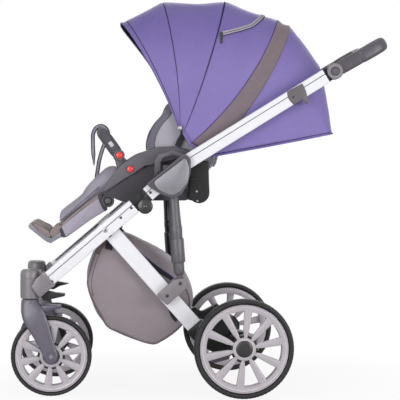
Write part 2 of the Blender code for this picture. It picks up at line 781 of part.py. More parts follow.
def handle_bar():
    """Two arms and the cross bar, one swept piece, with a tilting disc at each end."""
    bar = along(HANDLE_PIVOT, HANDLE_SLOPE, HANDLE_REACH)
    bar_mesh = rod_y(bar, HANDLE_BAR_HEIGHT / 2 - 0.004, -0.215, 0.215, 1, 16)
    added = []
    cut = []
    for side in SIDES.values():
        arm = [
            along(HANDLE_PIVOT, HANDLE_SLOPE, distance, rise)
            for distance, rise in (
                (0.024, -0.0200), (0.086, -0.0185), (0.088, -0.0205), (0.150, -0.0205),
                (0.166, -0.0180), (0.1735, -0.0080), (0.1730, 0.0100), (0.166, 0.0195),
                (0.150, 0.0215), (0.088, 0.0215), (0.086, 0.0195), (0.024, 0.0195),
            )
        ]
        added.append(prism(arm, TUBE_INNER_Y + 0.0003, TUBE_OUTER_Y, side))
        added.append(rod_y(HANDLE_PIVOT, HANDLE_DISC_RADIUS, HANDLE_SPLIT_Y,
                           TUBE_OUTER_Y - 0.0005, side, 24))
        bridge = slanted_box(HANDLE_PIVOT, HANDLE_SLOPE, 0.040, -0.0185, 0.0185)
        added.append(prism(bridge, HANDLE_SPLIT_Y, TUBE_OUTER_Y - 0.0005, side))
        cut.append(rod_y(HANDLE_PIVOT, HANDLE_DISC_RADIUS + 0.0015, 0.190,
                         HANDLE_SPLIT_Y - 0.00001, side, 24))
        cut.append(rod_y(HANDLE_PIVOT, BUTTON_RADIUS + RUNNING_GAP, 0.2, 0.23, side, 20))
    return bar_mesh, added, cut


GRIP_HALF = 0.165


def handle_grip():
    """Padded sleeve round the cross bar."""
    bar = along(HANDLE_PIVOT, HANDLE_SLOPE, HANDLE_REACH)
    inner = HANDLE_BAR_HEIGHT / 2 - 0.004 + GAP
    outer = HANDLE_BAR_HEIGHT / 2
    profile = [
        (inner, -GRIP_HALF),
        (outer - 0.0015, -GRIP_HALF),
        (outer, -GRIP_HALF + 0.004),
        (outer, GRIP_HALF - 0.004),
        (outer - 0.0015, GRIP_HALF),
        (inner, GRIP_HALF),
    ]
    return turned_y(profile, bar, 1, 16)


def handle_button(side):
    return rod_y(HANDLE_PIVOT, BUTTON_RADIUS, 0.2112, TUBE_OUTER_Y + 0.0018, side, 20)


# Rear legs, struts and axle

LEG_LINE = along(LEG_PIVOT, LEG_SLOPE, 0.0, LEG_OFFSET)


def rear_leg(side):
    """Flat hollow bar with a bolt through the front leg tube at its top."""
    low, high = -LEG_WIDTH / 2, LEG_WIDTH / 2
    bar = prism(slanted_box(LEG_LINE, LEG_SLOPE, LEG_LENGTH, low, high, -0.022),
                LEG_INNER_Y, LEG_OUTER_Y, side)
    wall = TUBE_WALL
    bore = prism(slanted_box(LEG_LINE, LEG_SLOPE, LEG_LENGTH + 0.01, low + wall,
                             high - wall, 0.016),
                 LEG_INNER_Y + wall, LEG_OUTER_Y - wall, side)
    bolt = rod_y(LEG_PIVOT, PIN_RADIUS, LEG_OUTER_Y - 0.006, TUBE_OUTER_Y + 0.0010, side)
    head = rod_y(LEG_PIVOT, 0.0075, TUBE_OUTER_Y + 0.0004, TUBE_OUTER_Y + 0.0025, side)
    return bar, [bolt, head], [bore]


BRACKET_OUTER_Y = 0.2205
TONGUE_Y = (0.1985, 0.2115)


def strut_bracket(side):
    """Bracket clamped on the leg, with a fork that holds the strut's foot."""
    outline = [
        (-0.1300, 0.2940),
        (-0.0800, 0.3400),
        (-0.0560, 0.3450),
        (-0.0400, 0.3340),
        (-0.0440, 0.3150),
        (-0.0990, 0.2650),
    ]
    shell = prism(rounded(outline, 0.006, 2), LEG_OUTER_Y + RUNNING_GAP, BRACKET_OUTER_Y, side)
    slot_edge = along(STRUT_FOOT, LEG_SLOPE - math.pi, 0.0, 0.020)
    slot = [
        along(slot_edge, LEG_SLOPE, -0.06),
        along(slot_edge, LEG_SLOPE, 0.06),
        along(slot_edge, LEG_SLOPE, 0.06, 0.08),
        along(slot_edge, LEG_SLOPE, -0.06, 0.08),
    ]
    slot_solid = prism(slot, TONGUE_Y[0] - GAP, TONGUE_Y[1] + GAP, side)
    pin = rod_y(STRUT_FOOT, 0.004, TONGUE_Y[0] - 0.003, TONGUE_Y[1] + 0.003, side)
    return shell, [slot_solid], [pin]


STRUT_SLOPE = math.atan2(STRUT_HEAD[1] - STRUT_FOOT[1], STRUT_HEAD[0] - STRUT_FOOT[0])


def strut_ring_bar(stations, side, segments=16):
    """A round bar along the strut, through (distance from the foot pivot, radius)."""
    points = []
    for distance, radius in stations:
        x, z = along(STRUT_FOOT, STRUT_SLOPE, distance)
        points.append(((x, side * STRUT_Y, z), radius))
    return round_bar(points, segments)


COLLAR_LOW = 0.061
COLLAR_HIGH = 0.131
ROD_FOOT = COLLAR_HIGH - 0.030


def strut_sleeve(side):
    """Lower half of the telescopic strut: tongue, foot and collar with a blind bore."""
    sleeve = strut_ring_bar([
        (0.024, 0.010),
        (0.030, SLEEVE_FOOT_RADIUS),
        (COLLAR_LOW - 0.002, SLEEVE_FOOT_RADIUS + 0.0005),
        (COLLAR_LOW, SLEEVE_RADIUS),
        (COLLAR_HIGH - 0.002, SLEEVE_RADIUS),
        (COLLAR_HIGH, SLEEVE_RADIUS - 0.001),
    ], side)
    tongue = prism(slanted_box(STRUT_FOOT, STRUT_SLOPE, 0.040, -0.010, 0.010),
                   TONGUE_Y[0], TONGUE_Y[1], side)
    eye = rod_y(STRUT_FOOT, 0.012, TONGUE_Y[0], TONGUE_Y[1], side, 20)
    pin_hole = rod_y(STRUT_FOOT, 0.004 + RUNNING_GAP, 0.19, 0.22, side)
    bore_depth = COLLAR_HIGH - ROD_FOOT + STRUT_TRAVEL + 0.004
    bore = strut_ring_bar([
        (COLLAR_HIGH - bore_depth, ROD_BOTTOM_RADIUS + 0.0006),
        (COLLAR_HIGH + 0.004, ROD_BOTTOM_RADIUS + 0.0006),
    ], side)
    return sleeve, [tongue, eye], [pin_hole, bore]


def strut_rod(side):
    """Upper half of the strut, with the head that hides behind the hub cover."""
    length = math.dist(STRUT_FOOT, STRUT_HEAD)
    rod = strut_ring_bar([
        (ROD_FOOT, ROD_BOTTOM_RADIUS - 0.001),
        (ROD_FOOT + 0.004, ROD_BOTTOM_RADIUS),
        (COLLAR_HIGH + STRUT_TRAVEL + 0.001, ROD_BOTTOM_RADIUS),
        (length - 0.010, STRUT_HEAD_RADIUS),
        (length, STRUT_HEAD_RADIUS - 0.0025),
    ], side)
    eye = rod_y(STRUT_HEAD, STRUT_HEAD_RADIUS - 0.004, STRUT_Y - 0.0125, STRUT_Y + 0.0125,
                side, 16)
    return rod, [eye]


def rear_axle():
    """Moulded cross beam with a casting and a stub axle at each end."""
    centre = (REAR_AXLE_X, REAR_WHEEL_RADIUS)
    beam = rod_y(centre, AXLE_BEAM_RADIUS, -0.175, 0.175, 1, 20)
    added = []
    cut = []
    leg_end = along(LEG_LINE, LEG_SLOPE, LEG_LENGTH)
    for side in SIDES.values():
        casting = rounded([
            along(leg_end, LEG_SLOPE, -0.034, 0.029),
            along(leg_end, LEG_SLOPE, -0.004, 0.036),
            (0.080, 0.232),
            (0.112, 0.185),
            (0.143, 0.163),
            (0.143, 0.128),
            (0.118, 0.116),
            (0.040, 0.122),
            along(leg_end, LEG_SLOPE, 0.004, -0.030),
            along(leg_end, LEG_SLOPE, -0.034, -0.029),
        ], 0.008, 2)
        added.append(prism(casting, 0.1645, 0.1960, side))
        drum = circle((REAR_AXLE_X - 0.012, REAR_WHEEL_RADIUS + 0.010), 0.036, 20)
        added.append(prism(drum, 0.190, 0.246, side))
        added.append(rod_y(centre, 0.017, 0.240, REAR_TRACK_HALF - 0.020, side, 20))
        added.append(rod_y(centre, AXLE_RADIUS, 0.250, REAR_TRACK_HALF + 0.013, side))
        reach = 0.08
        socket = slanted_box(leg_end, LEG_SLOPE, GAP, -LEG_WIDTH / 2 - GAP,
                             LEG_WIDTH / 2 + GAP, -reach)
        cut.append(prism(socket, LEG_INNER_Y - GAP, LEG_OUTER_Y + GAP, side))
    return beam, added, cut


PEDAL_HALF = 0.062


def brake_pedal():
    """Foot pedal that hangs forward from a ring round the cross beam."""
    centre = (REAR_AXLE_X, REAR_WHEEL_RADIUS)
    ring = rod_y(centre, 0.0175, -0.020, 0.020, 1, 20)
    arm = rounded([
        (0.128, 0.132),
        (0.112, 0.128),
        (0.085, 0.101),
        (0.038, 0.086),
        (0.036, 0.078),
        (0.060, 0.070),
        (0.100, 0.083),
        (0.128, 0.115),
    ], 0.004, 2)
    arm_solid = prism(arm, -0.018, 0.018)
    pad = rounded([
        (0.098, 0.100),
        (0.038, 0.0865),
        (0.035, 0.078),
        (0.050, 0.072),
        (0.098, 0.085),
    ], 0.004, 2)
    pad_solid = prism(pad, -PEDAL_HALF, PEDAL_HALF)
    hole = rod_y(centre, AXLE_BEAM_RADIUS + RUNNING_GAP, -0.03, 0.03, 1, 20)
    return ring, [arm_solid, pad_solid], [hole]


BASKET_OUTLINE = [
    (-0.2450, 0.4680),
    (-0.3020, 0.4300),
    (-0.3290, 0.3700),
    (-0.3340, 0.3200),
    (-0.3220, 0.2700),
    (-0.2700, 0.1880),
    (-0.2100, 0.1590),
    (-0.1400, 0.1440),
    (-0.0950, 0.1570),
    (-0.0500, 0.1950),
    (-0.0180, 0.2550),
    (-0.0230, 0.3200),
    (-0.0560, 0.3740),
    (-0.1000, 0.4080),
    (-0.1550, 0.4400),
]


def basket_rings(inset):
    """Rings of the bag from side to side: full in the middle, drawn in at both walls."""
    middle = (-0.170, 0.305)
    rings = []
    for share, size in ((-1.0, 0.93), (-0.90, 0.99), (0.0, 1.0), (0.90, 0.99), (1.0, 0.93)):
        ring = []
        for x, z in BASKET_OUTLINE:
            offset = Vector((x - middle[0], z - middle[1]))
            offset *= size - inset / offset.length
            ring.append((middle[0] + offset.x, share * (BASKET_HALF_WIDTH - inset),
                         middle[1] + offset.y))
        rings.append(ring)
    return rings


def basket():
    """Soft bag with an open top between the rear legs."""
    shell = skin(basket_rings(0.0))
    hollow = skin(basket_rings(BASKET_WALL))
    mouth = prism([(-0.228, 0.40), (-0.228, 0.50), (-0.045, 0.50), (-0.045, 0.33)],
                  -0.120, 0.120)
    return shell, [hollow, mouth]


# Seat unit

def seat_frame():
    """Side panels with armrests, the pan between them and the lugs that hang on the hubs."""
    pan = block((-0.262, -SEAT_SIDE_Y, SEAT_PAN_Z), (-0.035, SEAT_SIDE_Y, SEAT_PAN_Z + 0.006))
    panel = [
        (-0.2900, 0.5930),
        (-0.2660, 0.6340),
        (-0.2300, 0.6780),
        (-0.1840, 0.7080),
        (-0.1240, 0.7270),
        (-0.0790, 0.7290),
        (-0.0400, 0.7210),
        (-0.0420, 0.6170),
        (-0.0290, 0.5760),
        (-0.0400, 0.5700),
        (-0.1700, 0.5740),
        (-0.2110, 0.5740),
        (-0.2560, 0.5560),
        (-0.2700, 0.5510),
        (-0.2880, 0.5620),
    ]
    armrest = [
        (-0.2905, 0.5925),
        (-0.2670, 0.6345),
        (-0.2305, 0.6795),
        (-0.1845, 0.7095),
        (-0.1240, 0.7285),
        (-0.0790, 0.7305),
        (-0.0340, 0.7210),
        (-0.0160, 0.7060),
        (-0.0220, 0.7015),
        (-0.0800, 0.7040),
        (-0.1320, 0.6910),
        (-0.1720, 0.6740),
        (-0.1900, 0.6490),
        (-0.2110, 0.6400),
        (-0.2300, 0.6330),
        (-0.2450, 0.6160),
        (-0.2700, 0.6000),
    ]
    ear = rounded([
        (-0.060, 0.578),
        (-0.007, 0.5745),
        (0.0145, 0.590),
        (0.0100, 0.612),
        (-0.010, 0.6165),
        (-0.060, 0.625),
    ], 0.008, 2)
    added = []
    cut = []
    for side in SIDES.values():
        outer = SEAT_SIDE_Y + SEAT_SIDE_THICK
        added.append(prism(panel, SEAT_SIDE_Y, outer, side))
        added.append(prism(armrest, SEAT_SIDE_Y + 0.0002, ARMREST_OUTER_Y, side))
        added.append(prism(ear, SEAT_SIDE_Y + 0.0004, outer - 0.0002, side))
        added.append(rod_y(LEG_REST_PIVOT, 0.0186, SEAT_SIDE_Y + 0.0006, 0.158, side, 20))
        lug = [(-0.112, 0.632), (-0.078, 0.632), (-0.078, 0.676), (-0.112, 0.676)]
        added.append(prism(lug, SEAT_SIDE_Y + 0.0010, HUB_INNER_Y - 0.0006, side))
        tongue = circle(BAR_PIVOT, 0.012, 9, begin=math.radians(-20), end=math.radians(200))
        tongue += [(-0.240, 0.655), (-0.205, 0.680)]
        added.append(prism(tongue, 0.1462, 0.1538, side))
        added.append(rod_y(BAR_PIVOT, 0.005, 0.150, 0.1600, side))
        cut.append(rod_y(LEG_REST_PIVOT, 0.006 + RUNNING_GAP, 0.13, 0.17, side))
        cut.append(rod_y(RECLINE_PIVOT, 0.006 + RUNNING_GAP, 0.13, 0.17, side))
        cut.append(rod_y(ARMREST_BUTTON, RED_BUTTON_RADIUS + GAP, ARMREST_OUTER_Y - 0.007,
                         ARMREST_OUTER_Y + 0.01, side, 20))
        swing = rod_y(BAR_PIVOT, BAR_RADIUS + 0.0012, 0.1542, 0.18, side, 24)
        cut.append(swing)
    return pan, added, cut


def red_button(centre, face_y, side):
    """Push button: a flat disc with a low domed face."""
    seat = face_y - 0.0025
    rings = []
    for radius, y in ((RED_BUTTON_RADIUS, seat), (RED_BUTTON_RADIUS, face_y + 0.0004),
                      (RED_BUTTON_RADIUS - 0.002, face_y + 0.0018)):
        rings.append([(x, side * y, z) for x, z in circle(centre, radius, 16)])
    return skin(rings)


def bumper_bar():
    """Padded bar in front of the child: two arms with round ends and a cross bar."""
    top = (-0.2870, 0.7720)
    arm_y = 0.1505
    corner = 0.045
    path = []
    lift = Vector((top[0] - BAR_PIVOT[0], 0, top[1] - BAR_PIVOT[1]))
    base = Vector((BAR_PIVOT[0], 0, BAR_PIVOT[1]))
    reach = lift.length
    heading = lift / reach
    steps = 5
    for side in (-1, 1):
        run = []
        run.append((base + heading * 0.006 + Vector((0, side * arm_y, 0)), BAR_RADIUS - 0.0015))
        run.append((base + heading * 0.030 + Vector((0, side * arm_y, 0)), BAR_RADIUS))
        for k in range(steps + 1):
            turn = math.pi / 2 * k / steps
            out = arm_y - corner * (1 - math.cos(turn))
            up = reach - corner + corner * math.sin(turn)
            run.append((base + heading * up + Vector((0, side * out, 0)), BAR_RADIUS + 0.0005))
        path += run if side < 0 else run[::-1]
    bar = bent_bar(path, heading, 12)
    added = []
    cut = []
    for side in SIDES.values():
        added.append(rod_y(BAR_PIVOT, BAR_RADIUS, 0.1545, ARMREST_OUTER_Y + 0.0005, side, 24))
        cut.append(rod_y(BAR_PIVOT, 0.021, 0.1250, 0.1545, side, 24))
        cut.append(rod_y(BAR_PIVOT, 0.005 + RUNNING_GAP, 0.150, 0.1615, side))
        cut.append(rod_y(BAR_PIVOT, RED_BUTTON_RADIUS + GAP, ARMREST_OUTER_Y - 0.0055,
                         ARMREST_OUTER_Y + 0.01, side, 20))
    return bar, added, cut


def bent_bar(stations, plane_up, segments):
    """A round bar along a path in the plane of plane_up and Y."""
    rings = []
    points = [Vector(point) for point, _ in stations]
    square = plane_up.cross(Vector((0, 1, 0))).normalized()
    for i, (_, radius) in enumerate(stations):
        before = points[max(i - 1, 0)]
        after = points[min(i + 1, len(points) - 1)]
        heading = (after - before).normalized()
        across = heading.cross(square).normalized()
        rings.append([
            points[i] + radius * (math.cos(a) * across + math.sin(a) * square)
            for a in (2 * math.pi * k / segments for k in range(segments))
        ])
    return skin(rings)


LEG_REST_OUTLINE = [
    (-0.2640, 0.5850),
    (-0.2920, 0.5900),
    (-0.4100, 0.4980),
    (-0.4400, 0.4830),
    (-0.4450, 0.4750),
    (-0.4960, 0.5065),
    (-0.5060, 0.4960),
    (-0.4530, 0.4500),
    (-0.4360, 0.4450),
    (-0.3990, 0.4610),
    (-0.3050, 0.5290),
    (-0.2640, 0.5520),
]


def leg_rest():
    """Calf board and footboard in one, with a pivot and a knob on each side."""
    board = prism(rounded(LEG_REST_OUTLINE, 0.005, 2), -0.1440, 0.1440)
    added = []
    for side in SIDES.values():
        added.append(rod_y(LEG_REST_PIVOT, 0.006, 0.140, 0.1600, side))
        added.append(rod_y(LEG_REST_PIVOT, 0.0092, 0.1584, 0.1640, side, 20))
    return board, added


def backrest_shell():
    """Back panel with side wings, and outside each wing the black recline bracket."""
    panel = [
        (BACK_FOOT[0], BACK_FOOT[1]),
        (BACK_HEAD[0], BACK_HEAD[1]),
        along(BACK_HEAD, BACK_SLOPE, 0.0, BACK_BOARD),
        along(BACK_FOOT, BACK_SLOPE, 0.0, BACK_BOARD),
    ]
    wing = rounded([
        (-0.0300, 0.6100),
        (0.0100, 0.6500),
        BACK_FOOT,
        BACK_HEAD,
        (0.3600, 0.8900),
        (0.1500, 0.9100),
        (0.0200, 0.9100),
        (-0.0880, 0.8560),
        (-0.1240, 0.8000),
        (-0.1440, 0.7620),
        (-0.1500, 0.7200),
        (-0.0900, 0.6500),
    ], 0.02, 2)
    bracket = [
        (-0.0290, 0.6880),
        (-0.0310, 0.6200),
    ]
    bracket += circle((-0.002, 0.593), 0.031, 8, begin=math.radians(180),
                      end=math.radians(360))
    bracket += [(0.0275, 0.6300), (0.0260, 0.6860)]
    added = []
    for side in SIDES.values():
        added.append(prism(wing, WING_Y, WING_Y + WING_THICK, side))
        added.append(prism(bracket, 0.1535, 0.1645, side))
        added.append(rod_y(RECLINE_PIVOT, 0.006, 0.140, 0.158, side))
        tie = [(0.0100, 0.6520), (0.0262, 0.6640), (0.0262, 0.6840), (0.0160, 0.6780)]
        added.append(prism(tie, 0.144, 0.158, side))
    return prism(panel, -WING_Y - 0.003, WING_Y + 0.003), added


# Cushions

def pillow(length, width, thick, crown, tilt, corner, cells=(13, 11), channels=0):
    """A cushion with a crowned top, sides drawn in between the corners and a flat base.

    corner is its lower front corner in the middle of the pram, tilt its slope, and
    channels the number of sewn lines across it.
    """
    across, down = cells
    top = []
    for i in range(across + 1):
        u = 2 * i / across - 1
        row = []
        for j in range(down + 1):
            v = 2 * j / down - 1
            draw_v = 1 - 0.035 * (1 - u * u)
            draw_u = 1 - 0.035 * (1 - v * v)
            edge = (1 - abs(u) ** 4) * (1 - abs(v) ** 4)
            height = 0.45 * thick + 0.55 * thick * edge ** 0.5 + crown * edge
            if channels:
                wave = math.cos(math.pi * channels * (u + 1) / 2)
                height -= 0.16 * thick * edge ** 0.5 * wave ** 16
            row.append((u * draw_u, v * draw_v, height))
        top.append(row)
    bm = bmesh.new()
    turn = Matrix.Rotation(-tilt, 4, "Y")
    place = Matrix.Translation((corner[0], 0, corner[1])) @ turn

    def vertex(u, v, height):
        local = Vector(((u + 1) / 2 * length, v * width / 2, height))
        return bm.verts.new(place @ local)

    upper = [[vertex(*point) for point in row] for row in top]
    border = []
    border += [(i, 0) for i in range(across)]
    border += [(across, j) for j in range(down)]
    border += [(i, down) for i in range(across, 0, -1)]
    border += [(0, j) for j in range(down, 0, -1)]
    lower = []
    for i, j in border:
        u, v, _ = top[i][j]
        lower.append(vertex(0.96 * u, 0.96 * v, 0.0))
    for i in range(across):
        for j in range(down):
            bm.faces.new((upper[i][j], upper[i + 1][j], upper[i + 1][j + 1], upper[i][j + 1]))
    count = len(border)
    for k in range(count):
        m = (k + 1) % count
        a = upper[border[k][0]][border[k][1]]
        b = upper[border[m][0]][border[m][1]]
        bm.faces.new((a, lower[k], lower[m], b))
    bm.faces.new(lower)
    return mesh_from(bm, "pillow")


# Hood

# Each bow: its foot, its bulge and its top in the XZ plane, then half its width
BOWS = {
    "front": ((-0.0620, 0.7850), (-0.1150, 0.9320), (-0.2310, 1.1050), 0.166),
    "second": ((-0.0580, 0.7830), (-0.0600, 0.9600), (-0.1060, 1.1690), 0.176),
    "third": ((-0.0500, 0.7700), (0.0200, 0.9300), (0.0830, 1.1710), 0.182),
    "band_front": ((-0.0300, 0.7360), (0.1550, 0.8900), (0.2430, 1.1180), 0.184),
    "band_rear": ((0.0300, 0.7000), (0.2000, 0.8800), (0.2830, 1.0980), 0.184),
    "hood_high": ((0.1900, 0.7290), (0.3000, 0.8600), (0.3720, 0.9780), 0.184),
    "hood_low": ((0.3000, 0.7500), (0.3500, 0.8200), (0.3880, 0.8950), 0.184),
    "hood_hem": ((0.3840, 0.7670), (0.3880, 0.7685), (0.4020, 0.7705), 0.184),
}
BOW_LIFT_POWER = 0.66
BOW_WIDTH_POWER = 0.55


def bow_point(bow, u):
    """A point on a hood bow: u runs from 0 at its left foot to 1 at its right foot."""
    angle = math.pi * u
    lift = math.sin(angle) ** BOW_LIFT_POWER
    width = math.copysign(abs(math.cos(angle)) ** BOW_WIDTH_POWER, math.cos(angle))
    foot, bulge, top = (Vector(point) for point in bow[:3])
    spot = (1 - lift) ** 2 * foot + 2 * lift * (1 - lift) * bulge + lift ** 2 * top
    return Vector((spot.x, -bow[3] * width, spot.y))


def bow_between(first, second, share):
    points = tuple(
        (a[0] + share * (b[0] - a[0]), a[1] + share * (b[1] - a[1]))
        for a, b in zip(first[:3], second[:3])
    )
    return (*points, first[3] + share * (second[3] - first[3]))


def hood_panel(bows, across=14):
    """A curved sheet through several bows, given its thickness inwards."""
    bm = bmesh.new()
    middle = Vector((0.08, 0.0, 0.80))
    outer = [[bow_point(bow, k / across) for k in range(across + 1)] for bow in bows]
    skin_rows = [[bm.verts.new(p) for p in row] for row in outer]
    inner_rows = []
    for row in outer:
        inner_row = []
        for p in row:
            inwards = middle - p
            inwards.x *= 0.35
            inwards.normalize()
            inner_row.append(bm.verts.new(p + inwards * CANOPY_SKIN))
        inner_rows.append(inner_row)
    rows = len(bows)
    for i in range(rows - 1):
        for k in range(across):
            bm.faces.new((skin_rows[i][k], skin_rows[i + 1][k], skin_rows[i + 1][k + 1],
                          skin_rows[i][k + 1]))
            bm.faces.new((inner_rows[i][k], inner_rows[i][k + 1], inner_rows[i + 1][k + 1],
                          inner_rows[i + 1][k]))
    for i in (0, rows - 1):
        for k in range(across):
            bm.faces.new((skin_rows[i][k], skin_rows[i][k + 1], inner_rows[i][k + 1],
                          inner_rows[i][k]))
    for i in range(rows - 1):
        for k in (0, across):
            bm.faces.new((skin_rows[i][k], inner_rows[i][k], inner_rows[i + 1][k],
                          skin_rows[i + 1][k]))
    return mesh_from(bm, "hood_panel")


# Assembly

def build_bodies():
    bodies = {}

    def body(name, xz, parent, y=0.0):
        origin = (xz[0], y, xz[1])
        bodies[name] = make_body(name, origin, bodies.get(parent))

    body("front_frame", (0.0, 0.0), None)
    body("upper_frame", FOLD_PIVOT, "front_frame")
    body("rear_legs", LEG_PIVOT, "front_frame")
    body("brake_pedal", (REAR_AXLE_X, REAR_WHEEL_RADIUS), "rear_legs")
    body("handle", HANDLE_PIVOT, "upper_frame")
    body("seat_unit", (0.0, SEAT_PAN_Z), "upper_frame")
    body("leg_rest", LEG_REST_PIVOT, "seat_unit")
    body("bumper_bar", BAR_PIVOT, "seat_unit")
    body("backrest", RECLINE_PIVOT, "seat_unit")
    hood_pivot = (-0.0600, 0.7850)
    body("hood_middle", hood_pivot, "backrest")
    body("hood_front", hood_pivot, "hood_middle")
    for name, side in SIDES.items():
        y = side * FRONT_TRACK_HALF
        body("caster_" + name, (SWIVEL_X, HOUSING_BOTTOM), "front_frame", y)
        body("front_wheel_" + name, FRONT_AXLE, "caster_" + name, y)
        body("swivel_lock_" + name, (-0.4600, 0.2920), "front_frame", y)
        body("rear_wheel_" + name, (REAR_AXLE_X, REAR_WHEEL_RADIUS), "rear_legs",
             side * REAR_TRACK_HALF)
        body("strut_" + name, STRUT_FOOT, "rear_legs", side * STRUT_Y)
        body("strut_rod_" + name, STRUT_FOOT, "strut_" + name, side * STRUT_Y)
        body("release_collar_" + name, COLLAR_AT, "upper_frame", side * TUBE_MIDDLE_Y)
        body("handle_button_" + name, HANDLE_PIVOT, "handle", side * TUBE_OUTER_Y)
        body("bar_button_" + name, BAR_PIVOT, "bumper_bar", side * ARMREST_OUTER_Y)
        body("armrest_button_" + name, ARMREST_BUTTON, "seat_unit", side * ARMREST_OUTER_Y)
    return bodies


def build_chassis(bodies, paint):
    front = bodies["front_frame"]
    upper = bodies["upper_frame"]
    rear = bodies["rear_legs"]
    rear_centre = (REAR_AXLE_X, REAR_WHEEL_RADIUS)
    for name, side in SIDES.items():
        shell, cut = front_leg_tube(side)
        piece("front_leg_tube_" + name, shell, paint["white_tube"], front, cut=cut)
        barrel, joined, socket, plug, bore = caster_housing(side)
        housing = piece("caster_housing_" + name, barrel, paint["dark_plastic"], front,
                        add=joined, cut=socket, smooth=True)
        for solid, operation in ((plug[0], "UNION"), (bore[0], "DIFFERENCE")):
            last = housing.modifiers.new("spigot_" + operation.lower(), "BOOLEAN")
            last.operation = operation
            last.object = helper(solid, f"caster_housing_{name}_{operation.lower()}_last")
        mesh, joined, cut = fold_hinge_plug(side)
        piece("fold_hinge_plug_" + name, mesh, paint["black_plastic"], front, joined, cut)
        mesh, joined = fork(side)
        piece("fork_" + name, mesh, paint["fork_plastic"], bodies["caster_" + name], joined,
              smooth=True)
        mesh, cut = swivel_lock(side)
        piece("swivel_lock_" + name, mesh, paint["black_plastic"],
              bodies["swivel_lock_" + name], cut=cut)
        wheel = bodies["front_wheel_" + name]
        mesh, windows = rim(FRONT_AXLE, FRONT_TRACK_HALF, FRONT_RIM_RADIUS, side)
        piece("front_rim_" + name, mesh, paint["wheel_silver"], wheel, cut=[windows])
        mesh = tyre(FRONT_AXLE, FRONT_TRACK_HALF, FRONT_WHEEL_RADIUS, FRONT_RIM_RADIUS, side)
        piece("front_tyre_" + name, mesh, paint["tyre_black"], wheel)
        wheel = bodies["rear_wheel_" + name]
        mesh, windows = rim(rear_centre, REAR_TRACK_HALF, REAR_RIM_RADIUS, side)
        piece("rear_rim_" + name, mesh, paint["wheel_silver"], wheel, cut=[windows])
        mesh = tyre(rear_centre, REAR_TRACK_HALF, REAR_WHEEL_RADIUS, REAR_RIM_RADIUS, side)
        piece("rear_tyre_" + name, mesh, paint["tyre_black"], wheel)

        stations = upper_tube_stations()
        shell = skin([tube_ring(c, a, side, groove=True) for c, a in stations])
        piece("upper_tube_" + name, shell, paint["white_tube"], upper,
              cut=[tube_bore(stations, side, TUBE_WALL)])
        mesh, joined = hinge_clevis(side)
        piece("hinge_clevis_" + name, mesh, paint["black_plastic"], upper, joined)
        mesh, joined, cut = hub_body(side)
        piece("hub_body_" + name, mesh, paint["dark_plastic"], upper, joined, cut)
        piece("hub_cover_" + name, hub_cover(side), paint["silver_cover"], upper)
        mesh, cut = release_collar(side)
        piece("release_collar_" + name, mesh, paint["dark_plastic"],
              bodies["release_collar_" + name], cut=cut)
        mesh, joined = handle_joint(side)
        piece("handle_joint_" + name, mesh, paint["black_plastic"], upper, joined)
        piece("handle_button_" + name, handle_button(side), paint["dark_plastic"],
              bodies["handle_button_" + name])

        mesh, joined, cut = rear_leg(side)
        piece("rear_leg_" + name, mesh, paint["white_tube"], rear, joined, cut)
        mesh, cut, pin = strut_bracket(side)
        bracket = piece("strut_bracket_" + name, mesh, paint["dark_plastic"], rear, cut=cut)
        last = bracket.modifiers.new("pin", "BOOLEAN")
        last.operation = "UNION"
        last.object = helper(pin[0], f"strut_bracket_{name}_pin")
        mesh, joined, cut = strut_sleeve(side)
        piece("strut_sleeve_" + name, mesh, paint["dark_plastic"], bodies["strut_" + name],
              joined, cut, smooth=True)
        mesh, joined = strut_rod(side)
        piece("strut_rod_" + name, mesh, paint["dark_plastic"], bodies["strut_rod_" + name],
              joined, smooth=True)
    mesh, cut = front_cross_tube()
    piece("front_cross_tube", mesh, paint["dark_plastic"], front, cut=cut, smooth=True)
    mesh, joined, cut = handle_bar()
    piece("handle_bar", mesh, paint["dark_plastic"], bodies["handle"], joined, cut)
    piece("handle_grip", handle_grip(), paint["grip_leather"], bodies["handle"], smooth=True)
    mesh, joined, cut = rear_axle()
    piece("rear_axle", mesh, paint["black_plastic"], rear, joined, cut)
    mesh, joined, cut = brake_pedal()
    piece("brake_pedal", mesh, paint["dark_plastic"], bodies["brake_pedal"], joined, cut)
    mesh, cut = basket()
    piece("basket", mesh, paint["basket_grey"], rear, cut=cut, smooth=True)


